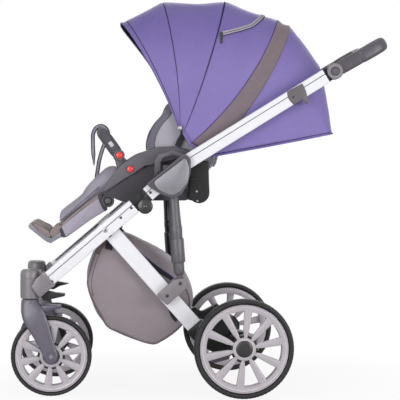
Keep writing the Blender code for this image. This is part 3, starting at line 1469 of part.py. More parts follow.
def build_seat(bodies, paint):
    seat = bodies["seat_unit"]
    back = bodies["backrest"]
    mesh, joined, cut = seat_frame()
    piece("seat_frame", mesh, paint["seat_grey"], seat, joined, cut)
    mesh = pillow(0.225, 2 * WING_Y - 0.008, 0.064, 0.016, 0.0,
                  (-0.246, SEAT_PAN_Z + 0.007), channels=2)
    piece("seat_cushion", mesh, paint["seat_lavender"], seat, smooth=True)
    mesh, joined = leg_rest()
    piece("leg_rest", mesh, paint["seat_grey"], bodies["leg_rest"], joined)
    slope = math.atan2(0.5900 - 0.4980, -0.2920 + 0.4100)
    start = along((-0.4100, 0.4980), slope, 0.0, 0.0010)
    mesh = pillow(0.148, 0.276, 0.038, 0.010, slope, start, channels=2)
    piece("leg_pad", mesh, paint["seat_lavender"], bodies["leg_rest"], smooth=True)
    mesh, joined, cut = bumper_bar()
    piece("bumper_bar", mesh, paint["dark_plastic"], bodies["bumper_bar"], joined, cut)
    mesh, joined = backrest_shell()
    piece("backrest_shell", mesh, paint["seat_grey"], back, joined)
    start = along(BACK_FOOT, BACK_SLOPE, -0.016, BACK_BOARD + RUNNING_GAP)
    mesh = pillow(0.385, 2 * WING_Y - 0.010, 0.030, 0.010, BACK_SLOPE, start, channels=3)
    piece("back_cushion", mesh, paint["seat_lavender"], back, smooth=True)
    for name, side in SIDES.items():
        piece("bar_button_" + name, red_button(BAR_PIVOT, ARMREST_OUTER_Y + 0.0005, side),
              paint["red_button"], bodies["bar_button_" + name])
        piece("armrest_button_" + name, red_button(ARMREST_BUTTON, ARMREST_OUTER_Y, side),
              paint["red_button"], bodies["armrest_button_" + name])
    seam = 0.012
    front = [BOWS["front"], bow_between(BOWS["front"], BOWS["second"], 0.5),
             bow_between(BOWS["front"], BOWS["second"], 1 - seam)]
    middle = [bow_between(BOWS["second"], BOWS["third"], share)
              for share in (seam, 0.35, 0.7, 1 - seam)]
    rear = [bow_between(BOWS["third"], BOWS["band_front"], share)
            for share in (seam, 0.5)]
    rear += [BOWS[name] for name in ("band_front", "band_rear", "hood_high", "hood_low",
                                     "hood_hem")]
    piece("canopy_front", hood_panel(front), paint["hood_purple"], bodies["hood_front"],
          smooth=True)
    piece("canopy_middle", hood_panel(middle), paint["hood_purple"], bodies["hood_middle"],
          smooth=True)
    piece("canopy_rear", hood_panel(rear), paint["hood_purple"], back, smooth=True)


def main():
    clear_scene()
    paint = make_materials()
    bodies = build_bodies()
    build_chassis(bodies, paint)
    build_seat(bodies, paint)


main()
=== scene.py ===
"""Looks of a two-in-one pram: folding chassis, reversible seat unit and hood.

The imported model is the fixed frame. Everything is in metres, +X towards the push handle,
+Z up, and the child's left side at -Y.
"""
import math

import bmesh
import bpy
import numpy as np
from mathutils import Matrix, Vector


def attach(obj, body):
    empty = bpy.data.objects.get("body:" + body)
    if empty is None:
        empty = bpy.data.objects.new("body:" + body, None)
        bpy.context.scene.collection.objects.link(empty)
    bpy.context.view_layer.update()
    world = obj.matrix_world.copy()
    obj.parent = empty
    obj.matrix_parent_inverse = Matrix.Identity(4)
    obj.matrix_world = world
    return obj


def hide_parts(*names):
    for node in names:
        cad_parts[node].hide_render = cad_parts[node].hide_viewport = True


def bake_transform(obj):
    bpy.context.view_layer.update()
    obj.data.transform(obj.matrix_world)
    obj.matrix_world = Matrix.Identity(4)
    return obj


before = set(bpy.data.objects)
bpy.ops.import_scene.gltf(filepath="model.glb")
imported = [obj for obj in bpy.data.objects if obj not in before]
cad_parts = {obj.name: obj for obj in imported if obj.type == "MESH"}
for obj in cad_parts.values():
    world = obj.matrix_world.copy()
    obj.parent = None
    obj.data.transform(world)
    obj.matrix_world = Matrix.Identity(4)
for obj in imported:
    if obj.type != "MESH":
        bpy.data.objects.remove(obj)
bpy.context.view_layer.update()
SIDES = {"left": -1, "right": 1}


# Shader maths

class Wire:
    """One output in a material; arithmetic on it adds Math nodes."""

    def __init__(self, finish, socket):
        self.finish = finish
        self.socket = socket

    def math(self, operation, first, second=None):
        values = {0: first} if second is None else {0: first, 1: second}
        return self.finish.node("Math", {"operation": operation}, values)

    def __add__(self, other):
        return self.math("ADD", self, other)

    __radd__ = __add__

    def __mul__(self, other):
        return self.math("MULTIPLY", self, other)

    __rmul__ = __mul__

    def __sub__(self, other):
        return self.math("SUBTRACT", self, other)

    def __rsub__(self, other):
        return self.math("SUBTRACT", other, self)

    def __abs__(self):
        return self.math("ABSOLUTE", self)

    def sine(self):
        return self.math("SINE", self)

    def larger(self, other):
        return self.math("MAXIMUM", self, other)

    def step(self, low, high):
        """0 below low, 1 above high and a smooth rise between them."""
        settings = {"interpolation_type": "SMOOTHSTEP"}
        return self.finish.node("MapRange", settings, {0: self, 1: low, 2: high})

    def blend(self, colour_at_0, colour_at_1):
        """A colour between two, with this value as the factor."""
        values = {0: self, 6: colour_at_0, 7: colour_at_1}
        return self.finish.node("Mix", {"data_type": "RGBA"}, values, 2)


class Finish:
    """A material in the making: its node tree and its shader."""

    def __init__(self, name, **constants):
        self.material = bpy.data.materials.new(name)
        self.material.use_nodes = True
        self.tree = self.material.node_tree
        self.shader = self.tree.nodes["Principled BSDF"]
        for key, value in constants.items():
            self.feed(self.shader.inputs[key.replace("_", " ")], value)

    def feed(self, socket, value):
        if isinstance(value, Wire):
            self.tree.links.new(value.socket, socket)
        elif socket.type == "RGBA":
            socket.default_value = (*value, 1.0)
        else:
            socket.default_value = value

    def node(self, kind, settings=None, values=None, out=0):
        made = self.tree.nodes.new("ShaderNode" + kind)
        for key, value in (settings or {}).items():
            setattr(made, key, value)
        for key, value in (values or {}).items():
            self.feed(made.inputs[key], value)
        return Wire(self, made.outputs[out])

    def spot(self, source="Object", scale=(1, 1, 1)):
        """Coordinates in metres, scaled."""
        place = self.node("TexCoord", out=source)
        return self.node("Mapping", None, {"Vector": place, "Scale": scale})

    def axes(self, place):
        """The three numbers of a place."""
        parts = self.tree.nodes.new("ShaderNodeSeparateXYZ")
        self.feed(parts.inputs[0], place)
        return [Wire(self, parts.outputs[i]) for i in range(3)]

    def noise(self, size, detail=3.0, source="Object", stretch=(1, 1, 1)):
        """Cloudy value round 0.5 whose features are about size metres across."""
        place = self.spot(source, stretch)
        values = {"Vector": place, "Scale": 1.0 / size, "Detail": detail}
        return self.node("TexNoise", None, values)

    def cells(self, size, feature="F1", out=0):
        """A value of cells about size metres across, such as the distance to their middles."""
        values = {"Vector": self.spot(), "Scale": 1.0 / size}
        return self.node("TexVoronoi", {"feature": feature}, values, out)

    def wear(self):
        """1 on convex edges, broken up by noise."""
        edge = self.node("NewGeometry", out="Pointiness").step(0.53, 0.62)
        return edge * self.noise(0.006).step(0.42, 0.62)

    def paint(self, colour, roughness, height=None, depth=0.0005, **more):
        """Feeds colour, roughness, the bump of a height up to depth, and other sockets."""
        more.update({"Base Color": colour, "Roughness": roughness})
        if height is not None:
            more["Normal"] = self.node("Bump", None, {"Height": height, "Distance": depth})
        for key, value in more.items():
            self.feed(self.shader.inputs[key.replace("_", " ")], value)
        return self.material


def srgb(red, green, blue):
    """A display colour from 0 to 255 as linear light."""
    return tuple(((c / 255 + 0.055) / 1.055) ** 2.4 if c > 10 else c / 3294.6
                 for c in (red, green, blue))


def shade(colour, factor):
    """A colour times a factor, at most 1."""
    return tuple(min(c * factor, 1.0) for c in colour)


# Finishes

def moulded(name, colour, roughness=0.45, grain=0.0009, depth=0.00012, worn=1.35, level=0.5):
    """Moulded plastic: cloudy tone, a fine spark-eroded grain and paler worn edges."""
    f = Finish(name, Specular_IOR_Level=level)
    cloud = f.noise(0.045, 4.0)
    tone = cloud.step(0.3, 0.7).blend(shade(colour, 0.93), shade(colour, 1.06))
    edges = f.wear()
    tone = (edges * 0.45).blend(tone, shade(colour, worn))
    fine = f.noise(grain, 2.0)
    rough = f.noise(0.02, 3.0) * 0.12 + (roughness - 0.06) + edges * 0.1
    return f.paint(tone, rough, fine, depth)


def lacquered(name, colour):
    """Sprayed tube paint: a clear coat, faint orange peel, faint streaks of dust."""
    f = Finish(name, Coat_Roughness=0.12)
    cloud = f.noise(0.09, 3.0).step(0.3, 0.75)
    tone = cloud.blend(shade(colour, 0.965), colour)
    smears = f.noise(0.012, 5.0, stretch=(0.25, 1, 1)).step(0.6, 0.8)
    tone = (smears * 0.1).blend(tone, shade(colour, 0.8))
    peel = f.noise(0.0035, 1.0)
    return f.paint(tone, smears * 0.15 + 0.32, peel, 0.00008, Coat_Weight=0.35)


def metallic_paint(name, colour, metal=0.45, roughness=0.36):
    """Silver paint on plastic: flakes of many tones under a thin coat."""
    f = Finish(name, Coat_Roughness=0.2)
    glint = f.axes(f.cells(0.0009, out="Color"))[0]
    tone = glint.blend(shade(colour, 0.9), shade(colour, 1.12))
    cloud = f.noise(0.03, 3.0).step(0.35, 0.7)
    tone = (cloud * 0.5).blend(tone, shade(colour, 0.93))
    tone = (f.wear() * 0.3).blend(tone, shade(colour, 1.3))
    return f.paint(tone, glint * 0.12 + roughness, f.noise(0.0006, 1.0), 0.00004,
                   Metallic=metal, Coat_Weight=0.3)


def rubber(name, colour):
    """Foam rubber tyre: dusty tread, slightly shiny sidewall, fine pores."""
    f = Finish(name, Specular_IOR_Level=0.45)
    dust = f.noise(0.018, 5.0).step(0.5, 0.78)
    tone = (dust * 0.15).blend(colour, shade(colour, 1.8))
    pores = f.noise(0.0011, 2.0)
    return f.paint(tone, dust * 0.25 + 0.5, pores, 0.0002)


def glossy(name, colour, roughness=0.22):
    """Polished plastic under a thin coat, its tone slightly cloudy."""
    f = Finish(name, Coat_Roughness=0.08)
    cloud = f.noise(0.004, 2.0).step(0.3, 0.7)
    tone = cloud.blend(shade(colour, 0.94), shade(colour, 1.05))
    return f.paint(tone, cloud * 0.1 + roughness, f.noise(0.0015, 1.0), 0.00005, Coat_Weight=0.5)


def steel(name, colour, roughness=0.28):
    """Bare metal with fine scratches drawn out along one axis."""
    f = Finish(name, Metallic=1.0)
    scratches = f.noise(0.004, 4.0, stretch=(1, 1, 6))
    tone = scratches.blend(shade(colour, 0.8), colour)
    return f.paint(tone, scratches * 0.25 + roughness, scratches, 0.00005)


def woven(name, dark, light, thread=0.001, melange=0.4, depth=0.00022, sheen=0.35,
          clouds=0.25, level=0.3, roughness=0.8, fade=None):
    """Plain weave: two sets of threads that pass over each other, with slubbed yarn.

    Where warp and weft cross, the height is the larger of two rounded threads whose
    crowns alternate, as |sin| of one direction times a checker of both. A fade of low,
    high and amount paints light and shade: the cloth is lighter below one height above the
    floor and darker above another, smoothly between them.
    """
    f = Finish(name, Sheen_Weight=sheen, Sheen_Roughness=0.45, Specular_IOR_Level=level)
    f.feed(f.shader.inputs["Sheen Tint"], shade(light, 1.2))
    u, v, _ = f.axes(f.spot("UV", (1 / thread, 1 / thread, 1 / thread)))
    warp = (u * math.pi).sine()
    weft = (v * math.pi).sine()
    over = (warp * weft).step(-0.25, 0.25)
    height = (abs(warp) * over).larger(abs(weft) * (1 - over))
    across = f.noise(thread * 2, 2.0, "UV", (1, 1 / 14, 1))
    along_yarn = f.noise(thread * 2, 2.0, "UV", (1 / 14, 1, 1))
    yarn = over * across + (1 - over) * along_yarn
    cloud = f.noise(0.07, 3.0).step(0.25, 0.75)
    mix = (yarn.step(0.25, 0.75) * melange + cloud * clouds
           + (0.42 - 0.5 * melange - 0.5 * clouds))
    # Painted light and shade: lighter low down, darker towards the top.
    if fade is not None:
        low, high, amount = fade
        mix = mix + amount * (0.35 - f.axes(f.spot())[2].step(low, high))
    tone = (mix + 0.2 * height).blend(dark, light)
    return f.paint(tone, roughness - 0.1 * height, height + 0.35 * yarn, depth)


def soft_touch(name, dark, light):
    """Brushed knit on padding, patterned in all three directions so it needs no layout."""
    stitch = 0.0016
    f = Finish(name, Sheen_Weight=0.4, Sheen_Roughness=0.5, Specular_IOR_Level=0.25)
    f.feed(f.shader.inputs["Sheen Tint"], shade(light, 1.1))
    knit = f.cells(stitch)
    fuzz = f.noise(stitch * 2.2, 4.0)
    cloud = f.noise(0.06, 3.0).step(0.25, 0.75)
    tone = (knit * 0.35 + fuzz * 0.35 + cloud * 0.35).blend(dark, light)
    return f.paint(tone, 0.9, (1 - knit) * 0.7 + fuzz * 0.5, 0.0003)


def webbing(name, colour, rib=0.0016, depth=0.0004):
    """Ribbed strap: ridges along its length, crossed by fine picks."""
    f = Finish(name, Sheen_Weight=0.2, Specular_IOR_Level=0.3)
    u, v, _ = f.axes(f.spot("UV", (1 / rib, 1 / rib, 1)))
    ribs = abs((u * math.pi).sine())
    picks = abs((v * math.pi * 1.7).sine())
    height = ribs * 0.7 + picks * 0.3
    tone = (height * 0.8 + f.noise(0.004) * 0.3).blend(shade(colour, 0.55), shade(colour, 1.35))
    return f.paint(tone, 0.75, height, depth)


def hide(name, colour):
    """Stitched leatherette: creased cells, darker in the creases."""
    f = Finish(name, Specular_IOR_Level=0.4)
    crease = f.cells(0.0022, "DISTANCE_TO_EDGE").step(0.02, 0.16)
    cloud = f.noise(0.03, 4.0).step(0.3, 0.7)
    tone = crease.blend(shade(colour, 0.7), cloud.blend(shade(colour, 0.93), shade(colour, 1.1)))
    return f.paint(tone, 0.62 - 0.12 * crease, crease + 0.3 * f.noise(0.0008), 0.00025)


PURPLE_DARK = srgb(102, 87, 154)
PURPLE_LIGHT = srgb(134, 119, 184)

WHITE_PAINT = lacquered("white_tube_paint", srgb(238, 238, 243))
GROOVE_GREY = moulded("tube_groove", srgb(84, 84, 96), 0.6)
DARK_PLASTIC = moulded("dark_grey_plastic", srgb(86, 83, 91), 0.4)
HOUSING_PLASTIC = moulded("housing_plastic", srgb(122, 117, 122), 0.36, level=0.8)
STRUT_PLASTIC = moulded("strut_plastic", srgb(84, 80, 87), 0.38, level=0.7)
FORK_PLASTIC = moulded("fork_plastic", srgb(88, 83, 99), 0.34, level=0.8)
BLACK_PLASTIC = moulded("black_plastic", srgb(24, 23, 26), 0.4, level=0.35)
COVER_SILVER = metallic_paint("cover_silver", srgb(132, 131, 138), 0.6, 0.34)
WHEEL_SILVER = metallic_paint("wheel_silver", srgb(180, 174, 180), 0.2, 0.4)
# Lighter silver that paints the highlight on the wheel's bead and hub ring.
LIP_SILVER_HIGHLIGHT = metallic_paint("wheel_lip_painted_highlight", srgb(205, 200, 206), 0.3, 0.3)
TYRE_RUBBER = rubber("tyre_rubber", srgb(26, 24, 27))
RED_PLASTIC = glossy("red_button_plastic", srgb(238, 46, 34))
PALE_PLASTIC = glossy("pale_patch_plastic", srgb(196, 196, 204))
GRIP_HIDE = hide("grip_leatherette", srgb(86, 83, 92))
STEEL = steel("fastener_steel", (0.42, 0.42, 0.44))
DARK_STEEL = steel("dark_fastener", (0.12, 0.12, 0.13), 0.4)
# The hood's weave carries painted shade near its top and painted light low down.
HOOD_CLOTH = woven("hood_weave", PURPLE_DARK, PURPLE_LIGHT, 0.001, 0.3, 0.00018, 0.12,
                   clouds=0.1, level=0.5, roughness=0.5, fade=(0.93, 1.13, 0.65))
HOOD_TRIM = woven("hood_binding", PURPLE_DARK, shade(PURPLE_LIGHT, 1.15), 0.0008, 0.3)
BAND_CLOTH = woven("hood_band_weave", srgb(104, 92, 97), srgb(138, 124, 130), 0.0009, 0.4,
                   clouds=0.1, level=0.4, roughness=0.65)
LINING = woven("dark_lining", srgb(26, 25, 29), srgb(46, 44, 50), 0.0009, 0.4, sheen=0.1)
BASKET_CLOTH = woven("basket_weave", srgb(124, 112, 118), srgb(152, 140, 147), 0.0009, 0.3,
                     clouds=0.1, level=0.8, roughness=0.46)
BASKET_TRIM = woven("basket_binding", srgb(84, 74, 84), srgb(112, 102, 112), 0.0008, 0.35)
SEAT_CLOTH = woven("seat_weave", srgb(146, 141, 155), srgb(182, 177, 190), 0.001, 0.45)
SEAT_KNIT = soft_touch("seat_knit", srgb(142, 137, 152), srgb(184, 179, 192))
SEAT_DARK = woven("seat_bolster_weave", srgb(98, 95, 108), srgb(128, 125, 138))
BEIGE_CLOTH = woven("beige_weave", srgb(132, 120, 119), srgb(164, 151, 149))
BLACK_WEB = webbing("black_webbing", srgb(44, 43, 47))
GREY_WEB = webbing("grey_webbing", srgb(170, 167, 176))
ZIP_TAPE = webbing("zip_tape", srgb(172, 166, 178), 0.0024, 0.0008)
SEAM_THREAD = woven("seam_thread", srgb(34, 28, 52), srgb(56, 46, 82), 0.0006, 0.3, sheen=0.1)
DARK_BINDING = woven("dark_binding", srgb(62, 60, 68), srgb(92, 89, 99), 0.0008, 0.3)
CAP_BLACK = glossy("cap_black", srgb(15, 14, 16), 0.34)
BAR_GRAIN = hide("bar_grain", srgb(88, 86, 94))
SIDE_CLOTH = woven("seat_side_weave", srgb(66, 64, 70), srgb(88, 85, 92))
WING_CLOTH = woven("wing_weave", srgb(158, 155, 166), srgb(190, 187, 198))
LEG_CLOTH = woven("leg_rest_weave", srgb(160, 153, 168), srgb(192, 184, 202))
BASKET_LINING = woven("basket_lining", srgb(62, 55, 59), srgb(88, 80, 84))
BASKET_BAND = woven("basket_rim_band", srgb(96, 82, 82), srgb(124, 108, 106))
DARK_PLASTIC_LIGHT = moulded("foot_frame_plastic", srgb(134, 132, 143), 0.42)
COLLAR_PLASTIC = moulded("collar_plastic", srgb(96, 91, 96), 0.4)
ARM_PLASTIC = moulded("handle_arm_plastic", srgb(76, 72, 81), 0.46, 0.004, 0.00003, 1.02)
CORNER_HIDE = moulded("handle_corner_hide", srgb(72, 68, 79), 0.38, 0.006, 0.00002, 1.02, 0.7)


# Lattices of points

def lattice_faces(rows, columns, closed):
    """Corner numbers of every quad: point (i, j) joins (i+1, j), (i+1, j+1), (i, j+1)."""
    i, j = np.meshgrid(np.arange(rows - (not closed[0])), np.arange(columns - (not closed[1])),
                       indexing="ij")
    below, right = (i + 1) % rows, (j + 1) % columns
    quads = [i * columns + j, below * columns + j, below * columns + right, i * columns + right]
    return np.stack(quads, -1).reshape(-1, 4)


def metric_layout(points, closed):
    """Cloth layout in metres: the mean distances along both directions, added up."""
    if closed[0]:
        points = np.concatenate([points, points[:1]], 0)
    if closed[1]:
        points = np.concatenate([points, points[:, :1]], 1)
    down = np.linalg.norm(np.diff(points, axis=0), axis=2).mean(1)
    across = np.linalg.norm(np.diff(points, axis=1), axis=2).mean(0)
    u = np.concatenate([[0], np.cumsum(across)])
    v = np.concatenate([[0], np.cumsum(down)])
    layout = np.stack(np.broadcast_arrays(u[None, :], v[:, None]), -1)
    corners = [layout[:-1, :-1], layout[1:, :-1], layout[1:, 1:], layout[:-1, 1:]]
    return np.stack(corners, 2).reshape(-1, 2)


def part(points, closed=(False, False), caps=False, tone=0):
    """One lattice of a piece: points[row, column], which ways it closes, its material."""
    points = np.asarray(points, float)
    rows, columns = points.shape[:2]
    quads = (rows - (not closed[0]), columns - (not closed[1]))
    return {"points": points, "faces": lattice_faces(rows, columns, closed), "caps": caps,
            "tones": np.broadcast_to(np.asarray(tone), quads).reshape(-1),
            "layout": metric_layout(points, closed)}


def make(name, parts, finishes, body, slot, stands_for=(), **ways):
    """A piece from its lattices: vertices, quads and caps go into the mesh as whole arrays."""
    spots, loops, starts, sizes, tones, layouts = [], [], [], [], [], []
    first = 0
    corner = 0
    for item in parts:
        rows, columns, _ = item["points"].shape
        spots.append(item["points"].reshape(-1, 3))
        loops.append(item["faces"].reshape(-1) + first)
        count = len(item["faces"])
        starts.append(corner + 4 * np.arange(count))
        sizes.append(np.full(count, 4))
        tones.append(item["tones"])
        layouts.append(item["layout"])
        corner += 4 * count
        if item["caps"]:
            for row, turned in ((0, False), (rows - 1, True)):
                ring = first + row * columns + np.arange(columns)
                loops.append(ring[::-1] if turned else ring)
                starts.append([corner])
                sizes.append([columns])
                tones.append([item["tones"][0]])
                layouts.append(item["points"][row][:, [0, 2]])
                corner += columns
        first += rows * columns
    mesh = bpy.data.meshes.new(name)
    mesh.vertices.add(first)
    mesh.vertices.foreach_set("co", np.concatenate(spots).astype(np.float32).ravel())
    mesh.loops.add(corner)
    mesh.loops.foreach_set("vertex_index", np.concatenate(loops).astype(np.int32))
    mesh.polygons.add(sum(len(s) for s in sizes))
    mesh.polygons.foreach_set("loop_start", np.concatenate(starts).astype(np.int32))
    mesh.polygons.foreach_set("material_index", np.concatenate(tones).astype(np.int32))
    mesh.update(calc_edges=True)
    mesh.uv_layers.new(name="layout")
    mesh.uv_layers[0].data.foreach_set("uv", np.concatenate(layouts).astype(np.float32).ravel())
    mesh.validate()
    return settle(name, mesh, finishes, body, slot, stands_for, **ways)


def settle(name, mesh, finishes, body, slot, stands_for=(), crease=40, outward=True,
           thick=0.0, offset=-1.0, inside=None):
    """Puts a mesh into the scene: normals, finishes, the body it rides on, what it replaces.

    A wall of thickness thick goes on cloth, with the finish called inside on its back.
    """
    if outward:
        bm = bmesh.new()
        bm.from_mesh(mesh)
        bmesh.ops.remove_doubles(bm, verts=bm.verts, dist=1e-7)
        bmesh.ops.recalc_face_normals(bm, faces=bm.faces)
        bm.to_mesh(mesh)
        bm.free()
    mesh.shade_smooth()
    if crease:
        mesh.set_sharp_from_angle(angle=math.radians(crease))
    obj = bpy.data.objects.new(name, mesh)
    bpy.context.scene.collection.objects.link(obj)
    for finish in finishes:
        mesh.materials.append(finish)
    if thick:
        if inside is not None:
            mesh.materials.append(inside)
        wall = obj.modifiers.new("thickness", "SOLIDIFY")
        wall.thickness = thick
        wall.offset = offset
        wall.use_even_offset = False
        if inside is not None:
            wall.material_offset = len(finishes)
    if body:
        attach(obj, body)
    if stands_for:
        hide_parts(*stands_for)
    return obj


# Curves and outlines

# Radius at which a turned profile meets its axis
AXIS = 0.0001
ACROSS = (0, 1, 0)


def rounded(corners, radius, steps=5):
    """A closed outline whose corners are quadratic arcs that reach radius along both sides."""
    corner = np.asarray(corners, float)
    before = np.roll(corner, 1, 0) - corner
    after = np.roll(corner, -1, 0) - corner
    long_before = np.linalg.norm(before, axis=1, keepdims=True)
    long_after = np.linalg.norm(after, axis=1, keepdims=True)
    reach = np.minimum(radius, 0.46 * np.minimum(long_before, long_after))
    start = corner + before / long_before * reach
    finish = corner + after / long_after * reach
    t = np.linspace(0, 1, steps + 1)[None, :, None]
    arc = ((1 - t) ** 2 * start[:, None] + 2 * t * (1 - t) * corner[:, None]
           + t ** 2 * finish[:, None])
    return arc.reshape(-1, 2)


def through(points, count=60, closed=False):
    """A smooth curve through points: cubic pieces whose slopes are central differences."""
    points = np.asarray(points, float)
    if closed:
        points = np.concatenate([points[-2:], points, points[:3]])
    chord = np.linalg.norm(np.diff(points, axis=0), axis=1)
    at = np.concatenate([[0], np.cumsum(chord)])
    slope = np.gradient(points, at, axis=0)
    low, high = (at[2], at[-3]) if closed else (0.0, at[-1])
    t = np.linspace(low, high, count + closed)[:count]
    k = np.clip(np.searchsorted(at, t, side="right") - 1, 0, len(points) - 2)
    span = (at[k + 1] - at[k])[:, None]
    s = (t - at[k])[:, None] / span
    return ((2 * s ** 3 - 3 * s ** 2 + 1) * points[k] + (s ** 3 - 2 * s ** 2 + s) * span * slope[k]
            + (3 * s ** 2 - 2 * s ** 3) * points[k + 1] + (s ** 3 - s ** 2) * span * slope[k + 1])


def inward(outline):
    """Unit normals of a closed outline, pointing to its inside."""
    run = np.roll(outline, -1, 0) - np.roll(outline, 1, 0)
    normal = np.stack([-run[:, 1], run[:, 0]], 1)
    normal /= np.linalg.norm(normal, axis=1, keepdims=True) + 1e-12
    x, z = outline[:, 0], outline[:, 1]
    turn = np.sum(x * np.roll(z, -1) - np.roll(x, -1) * z)
    return normal * np.sign(turn)


def along(start, angle, distance, rise=0.0):
    """The point at a distance along a slope, and a rise square to it."""
    return (start[0] + distance * math.cos(angle) - rise * math.sin(angle),
            start[1] + distance * math.sin(angle) + rise * math.cos(angle))


def bar_outline(start, angle, near, far, half, radius, steps):
    """A slanted bar from near to far along a slope, half to each side, corners rounded."""
    return rounded([along(start, angle, near, -half), along(start, angle, far, -half),
                    along(start, angle, far, half), along(start, angle, near, half)],
                   radius, steps)


def plate(outline, y_low, y_high, side=1, edge=0.002, steps=3, crown=0.0, tone=0, rows=4):
    """A moulding from a side outline, its two rims rounded by quarter circles.

    With a crown, the outer face swells: ring by ring it shrinks towards the middle and
    rises as 1 minus the square of its remaining size.
    """
    outline = np.asarray(outline, float)
    normal = inward(outline)
    turn = np.linspace(0, np.pi / 2, steps + 1)
    inset = np.concatenate([edge * (1 - np.sin(turn)), edge * (1 - np.cos(turn))])
    depth = np.concatenate([y_low + edge * (1 - np.cos(turn)), y_high - edge * (1 - np.sin(turn))])
    rings = outline[None] + inset[:, None, None] * normal[None]
    if crown:
        size = np.linspace(1, 0.06, rows + 1)[1:]
        middle = rings[-1].mean(0)
        more = middle + size[:, None, None] * (rings[-1] - middle)
        rings = np.concatenate([rings, more])
        depth = np.concatenate([depth, y_high + crown * (1 - size ** 2)])
    y = np.broadcast_to(side * depth[:, None], rings.shape[:2])
    points = np.stack([rings[..., 0], y, rings[..., 1]], -1)
    return part(points, (False, True), True, tone)


def turned(profile, centre, side=1, count=64, tone=0, ripple=None):
    """A (radius, y) profile carried round a line along Y: x and z are r cos and r sin."""
    profile = np.asarray(profile, float)
    angle = 2 * np.pi * np.arange(count) / count
    radius = np.broadcast_to(profile[None, :, 0], (count, len(profile))).copy()
    if ripple is not None:
        radius += ripple(angle[:, None], profile[None, :, 1], radius)
    y = np.broadcast_to(side * profile[None, :, 1], radius.shape)
    points = np.stack([centre[0] + radius * np.cos(angle)[:, None], y,
                       centre[1] + radius * np.sin(angle)[:, None]], -1)
    return part(points, (True, True), False, tone)


def knob(profile, centre, side, count, tone=0):
    """A turned part closed at both ends by flat faces down to its axis."""
    profile = [(AXIS, profile[0][1]), *profile, (AXIS, profile[-1][1])]
    return turned(profile, centre, side, count, tone)


def turned_upright(profile, centre, count=64):
    """A (radius, z) profile carried round a vertical line."""
    profile = np.asarray(profile, float)
    angle = 2 * np.pi * np.arange(count) / count
    x = centre[0] + profile[None, :, 0] * np.cos(angle)[:, None]
    y = centre[1] + profile[None, :, 0] * np.sin(angle)[:, None]
    z = np.broadcast_to(profile[None, :, 1], x.shape)
    return part(np.stack([x, y, z], -1), (True, False))


def turned_slanted(profile, start, slope, y, count=48):
    """A (distance, radius) profile carried round a slanted line in a plane of constant Y."""
    profile = np.asarray(profile, float)
    angle = 2 * np.pi * np.arange(count) / count
    rise = profile[None, :, 1] * np.cos(angle)[:, None]
    depth = profile[None, :, 1] * np.sin(angle)[:, None]
    far = np.broadcast_to(profile[None, :, 0], rise.shape)
    x = start[0] + far * math.cos(slope) - rise * math.sin(slope)
    z = start[1] + far * math.sin(slope) + rise * math.cos(slope)
    return part(np.stack([x, y + depth, z], -1), (True, False))


def sweep(path, section, across, closed=False, tone=0, size=None):
    """A closed (across, up) section carried along a path and kept square to it."""
    path = np.asarray(path, float)
    section = np.asarray(section, float)
    if closed:
        run = np.roll(path, -1, 0) - np.roll(path, 1, 0)
    else:
        run = np.gradient(path, axis=0)
    run /= np.linalg.norm(run, axis=1, keepdims=True)
    across = np.broadcast_to(np.asarray(across, float), path.shape)
    across = across - np.sum(across * run, 1, keepdims=True) * run
    across = across / np.linalg.norm(across, axis=1, keepdims=True)
    up = np.cross(run, across)
    section = np.broadcast_to(section, (len(path), *section.shape[-2:]))
    if size is not None:
        section = section * np.asarray(size, float).reshape(-1, 1, 1)
    points = (path[:, None] + section[..., :1] * across[:, None] + section[..., 1:] * up[:, None])
    return part(points, (closed, True), not closed, tone)


def oval(half_across, half_up, count=16, power=2.0):
    """A superellipse section: |x/a|^p + |y/b|^p = 1."""
    angle = 2 * np.pi * np.arange(count) / count
    c, s = np.cos(angle), np.sin(angle)
    return np.stack([half_across * np.sign(c) * np.abs(c) ** (2 / power),
                     half_up * np.sign(s) * np.abs(s) ** (2 / power)], 1)


def circle(centre, radius, count):
    """Points round a circle in the side view."""
    angle = 2 * np.pi * np.arange(count) / count
    return np.stack([centre[0] + radius * np.cos(angle), centre[1] + radius * np.sin(angle)], 1)


def at_depth(points, y):
    """Side-view points given one depth."""
    points = np.asarray(points, float)
    return np.stack([points[:, 0], np.full(len(points), float(y)), points[:, 1]], 1)


def bead(line, y, section, tone=0, closed=False):
    """An oval section, given by its numbers, carried along a side-view line at one depth."""
    return sweep(at_depth(line, y), oval(*section), ACROSS, closed, tone)


def screw(centre, face_y, side, radius):
    """A domed head whose profile falls to a hollow in its middle."""
    proud = 0.0012
    profile = [
        (radius * 0.32, proud * 0.45), (radius * 0.42, proud), (radius * 0.75, proud * 0.85),
        (radius, 0.0), (radius, -0.002)]
    return knob(np.array(profile) + [0, face_y], centre, side, 20)


def softened(stem, ending, finish, body, slot, width, segments=2, piece=None):
    """A copy of the CAD solid stem + ending, its doubles merged and its edges rounded."""
    name = (piece or stem) + "_skin" + ending
    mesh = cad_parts[stem + ending].data.copy()
    mesh.name = name
    mesh.materials.clear()
    bm = bmesh.new()
    bm.from_mesh(mesh)
    bmesh.ops.remove_doubles(bm, verts=bm.verts, dist=1e-6)
    bmesh.ops.dissolve_limit(bm, angle_limit=math.radians(0.8), verts=bm.verts, edges=bm.edges)
    bm.to_mesh(mesh)
    bm.free()
    obj = settle(name, mesh, [finish], body, slot, (stem + ending,), crease=0)
    soft = obj.modifiers.new("rounded_edges", "BEVEL")
    soft.width = width
    soft.segments = segments
    soft.limit_method = "ANGLE"
    soft.angle_limit = math.radians(28)
    soft.harden_normals = True
    soft.use_clamp_overlap = True


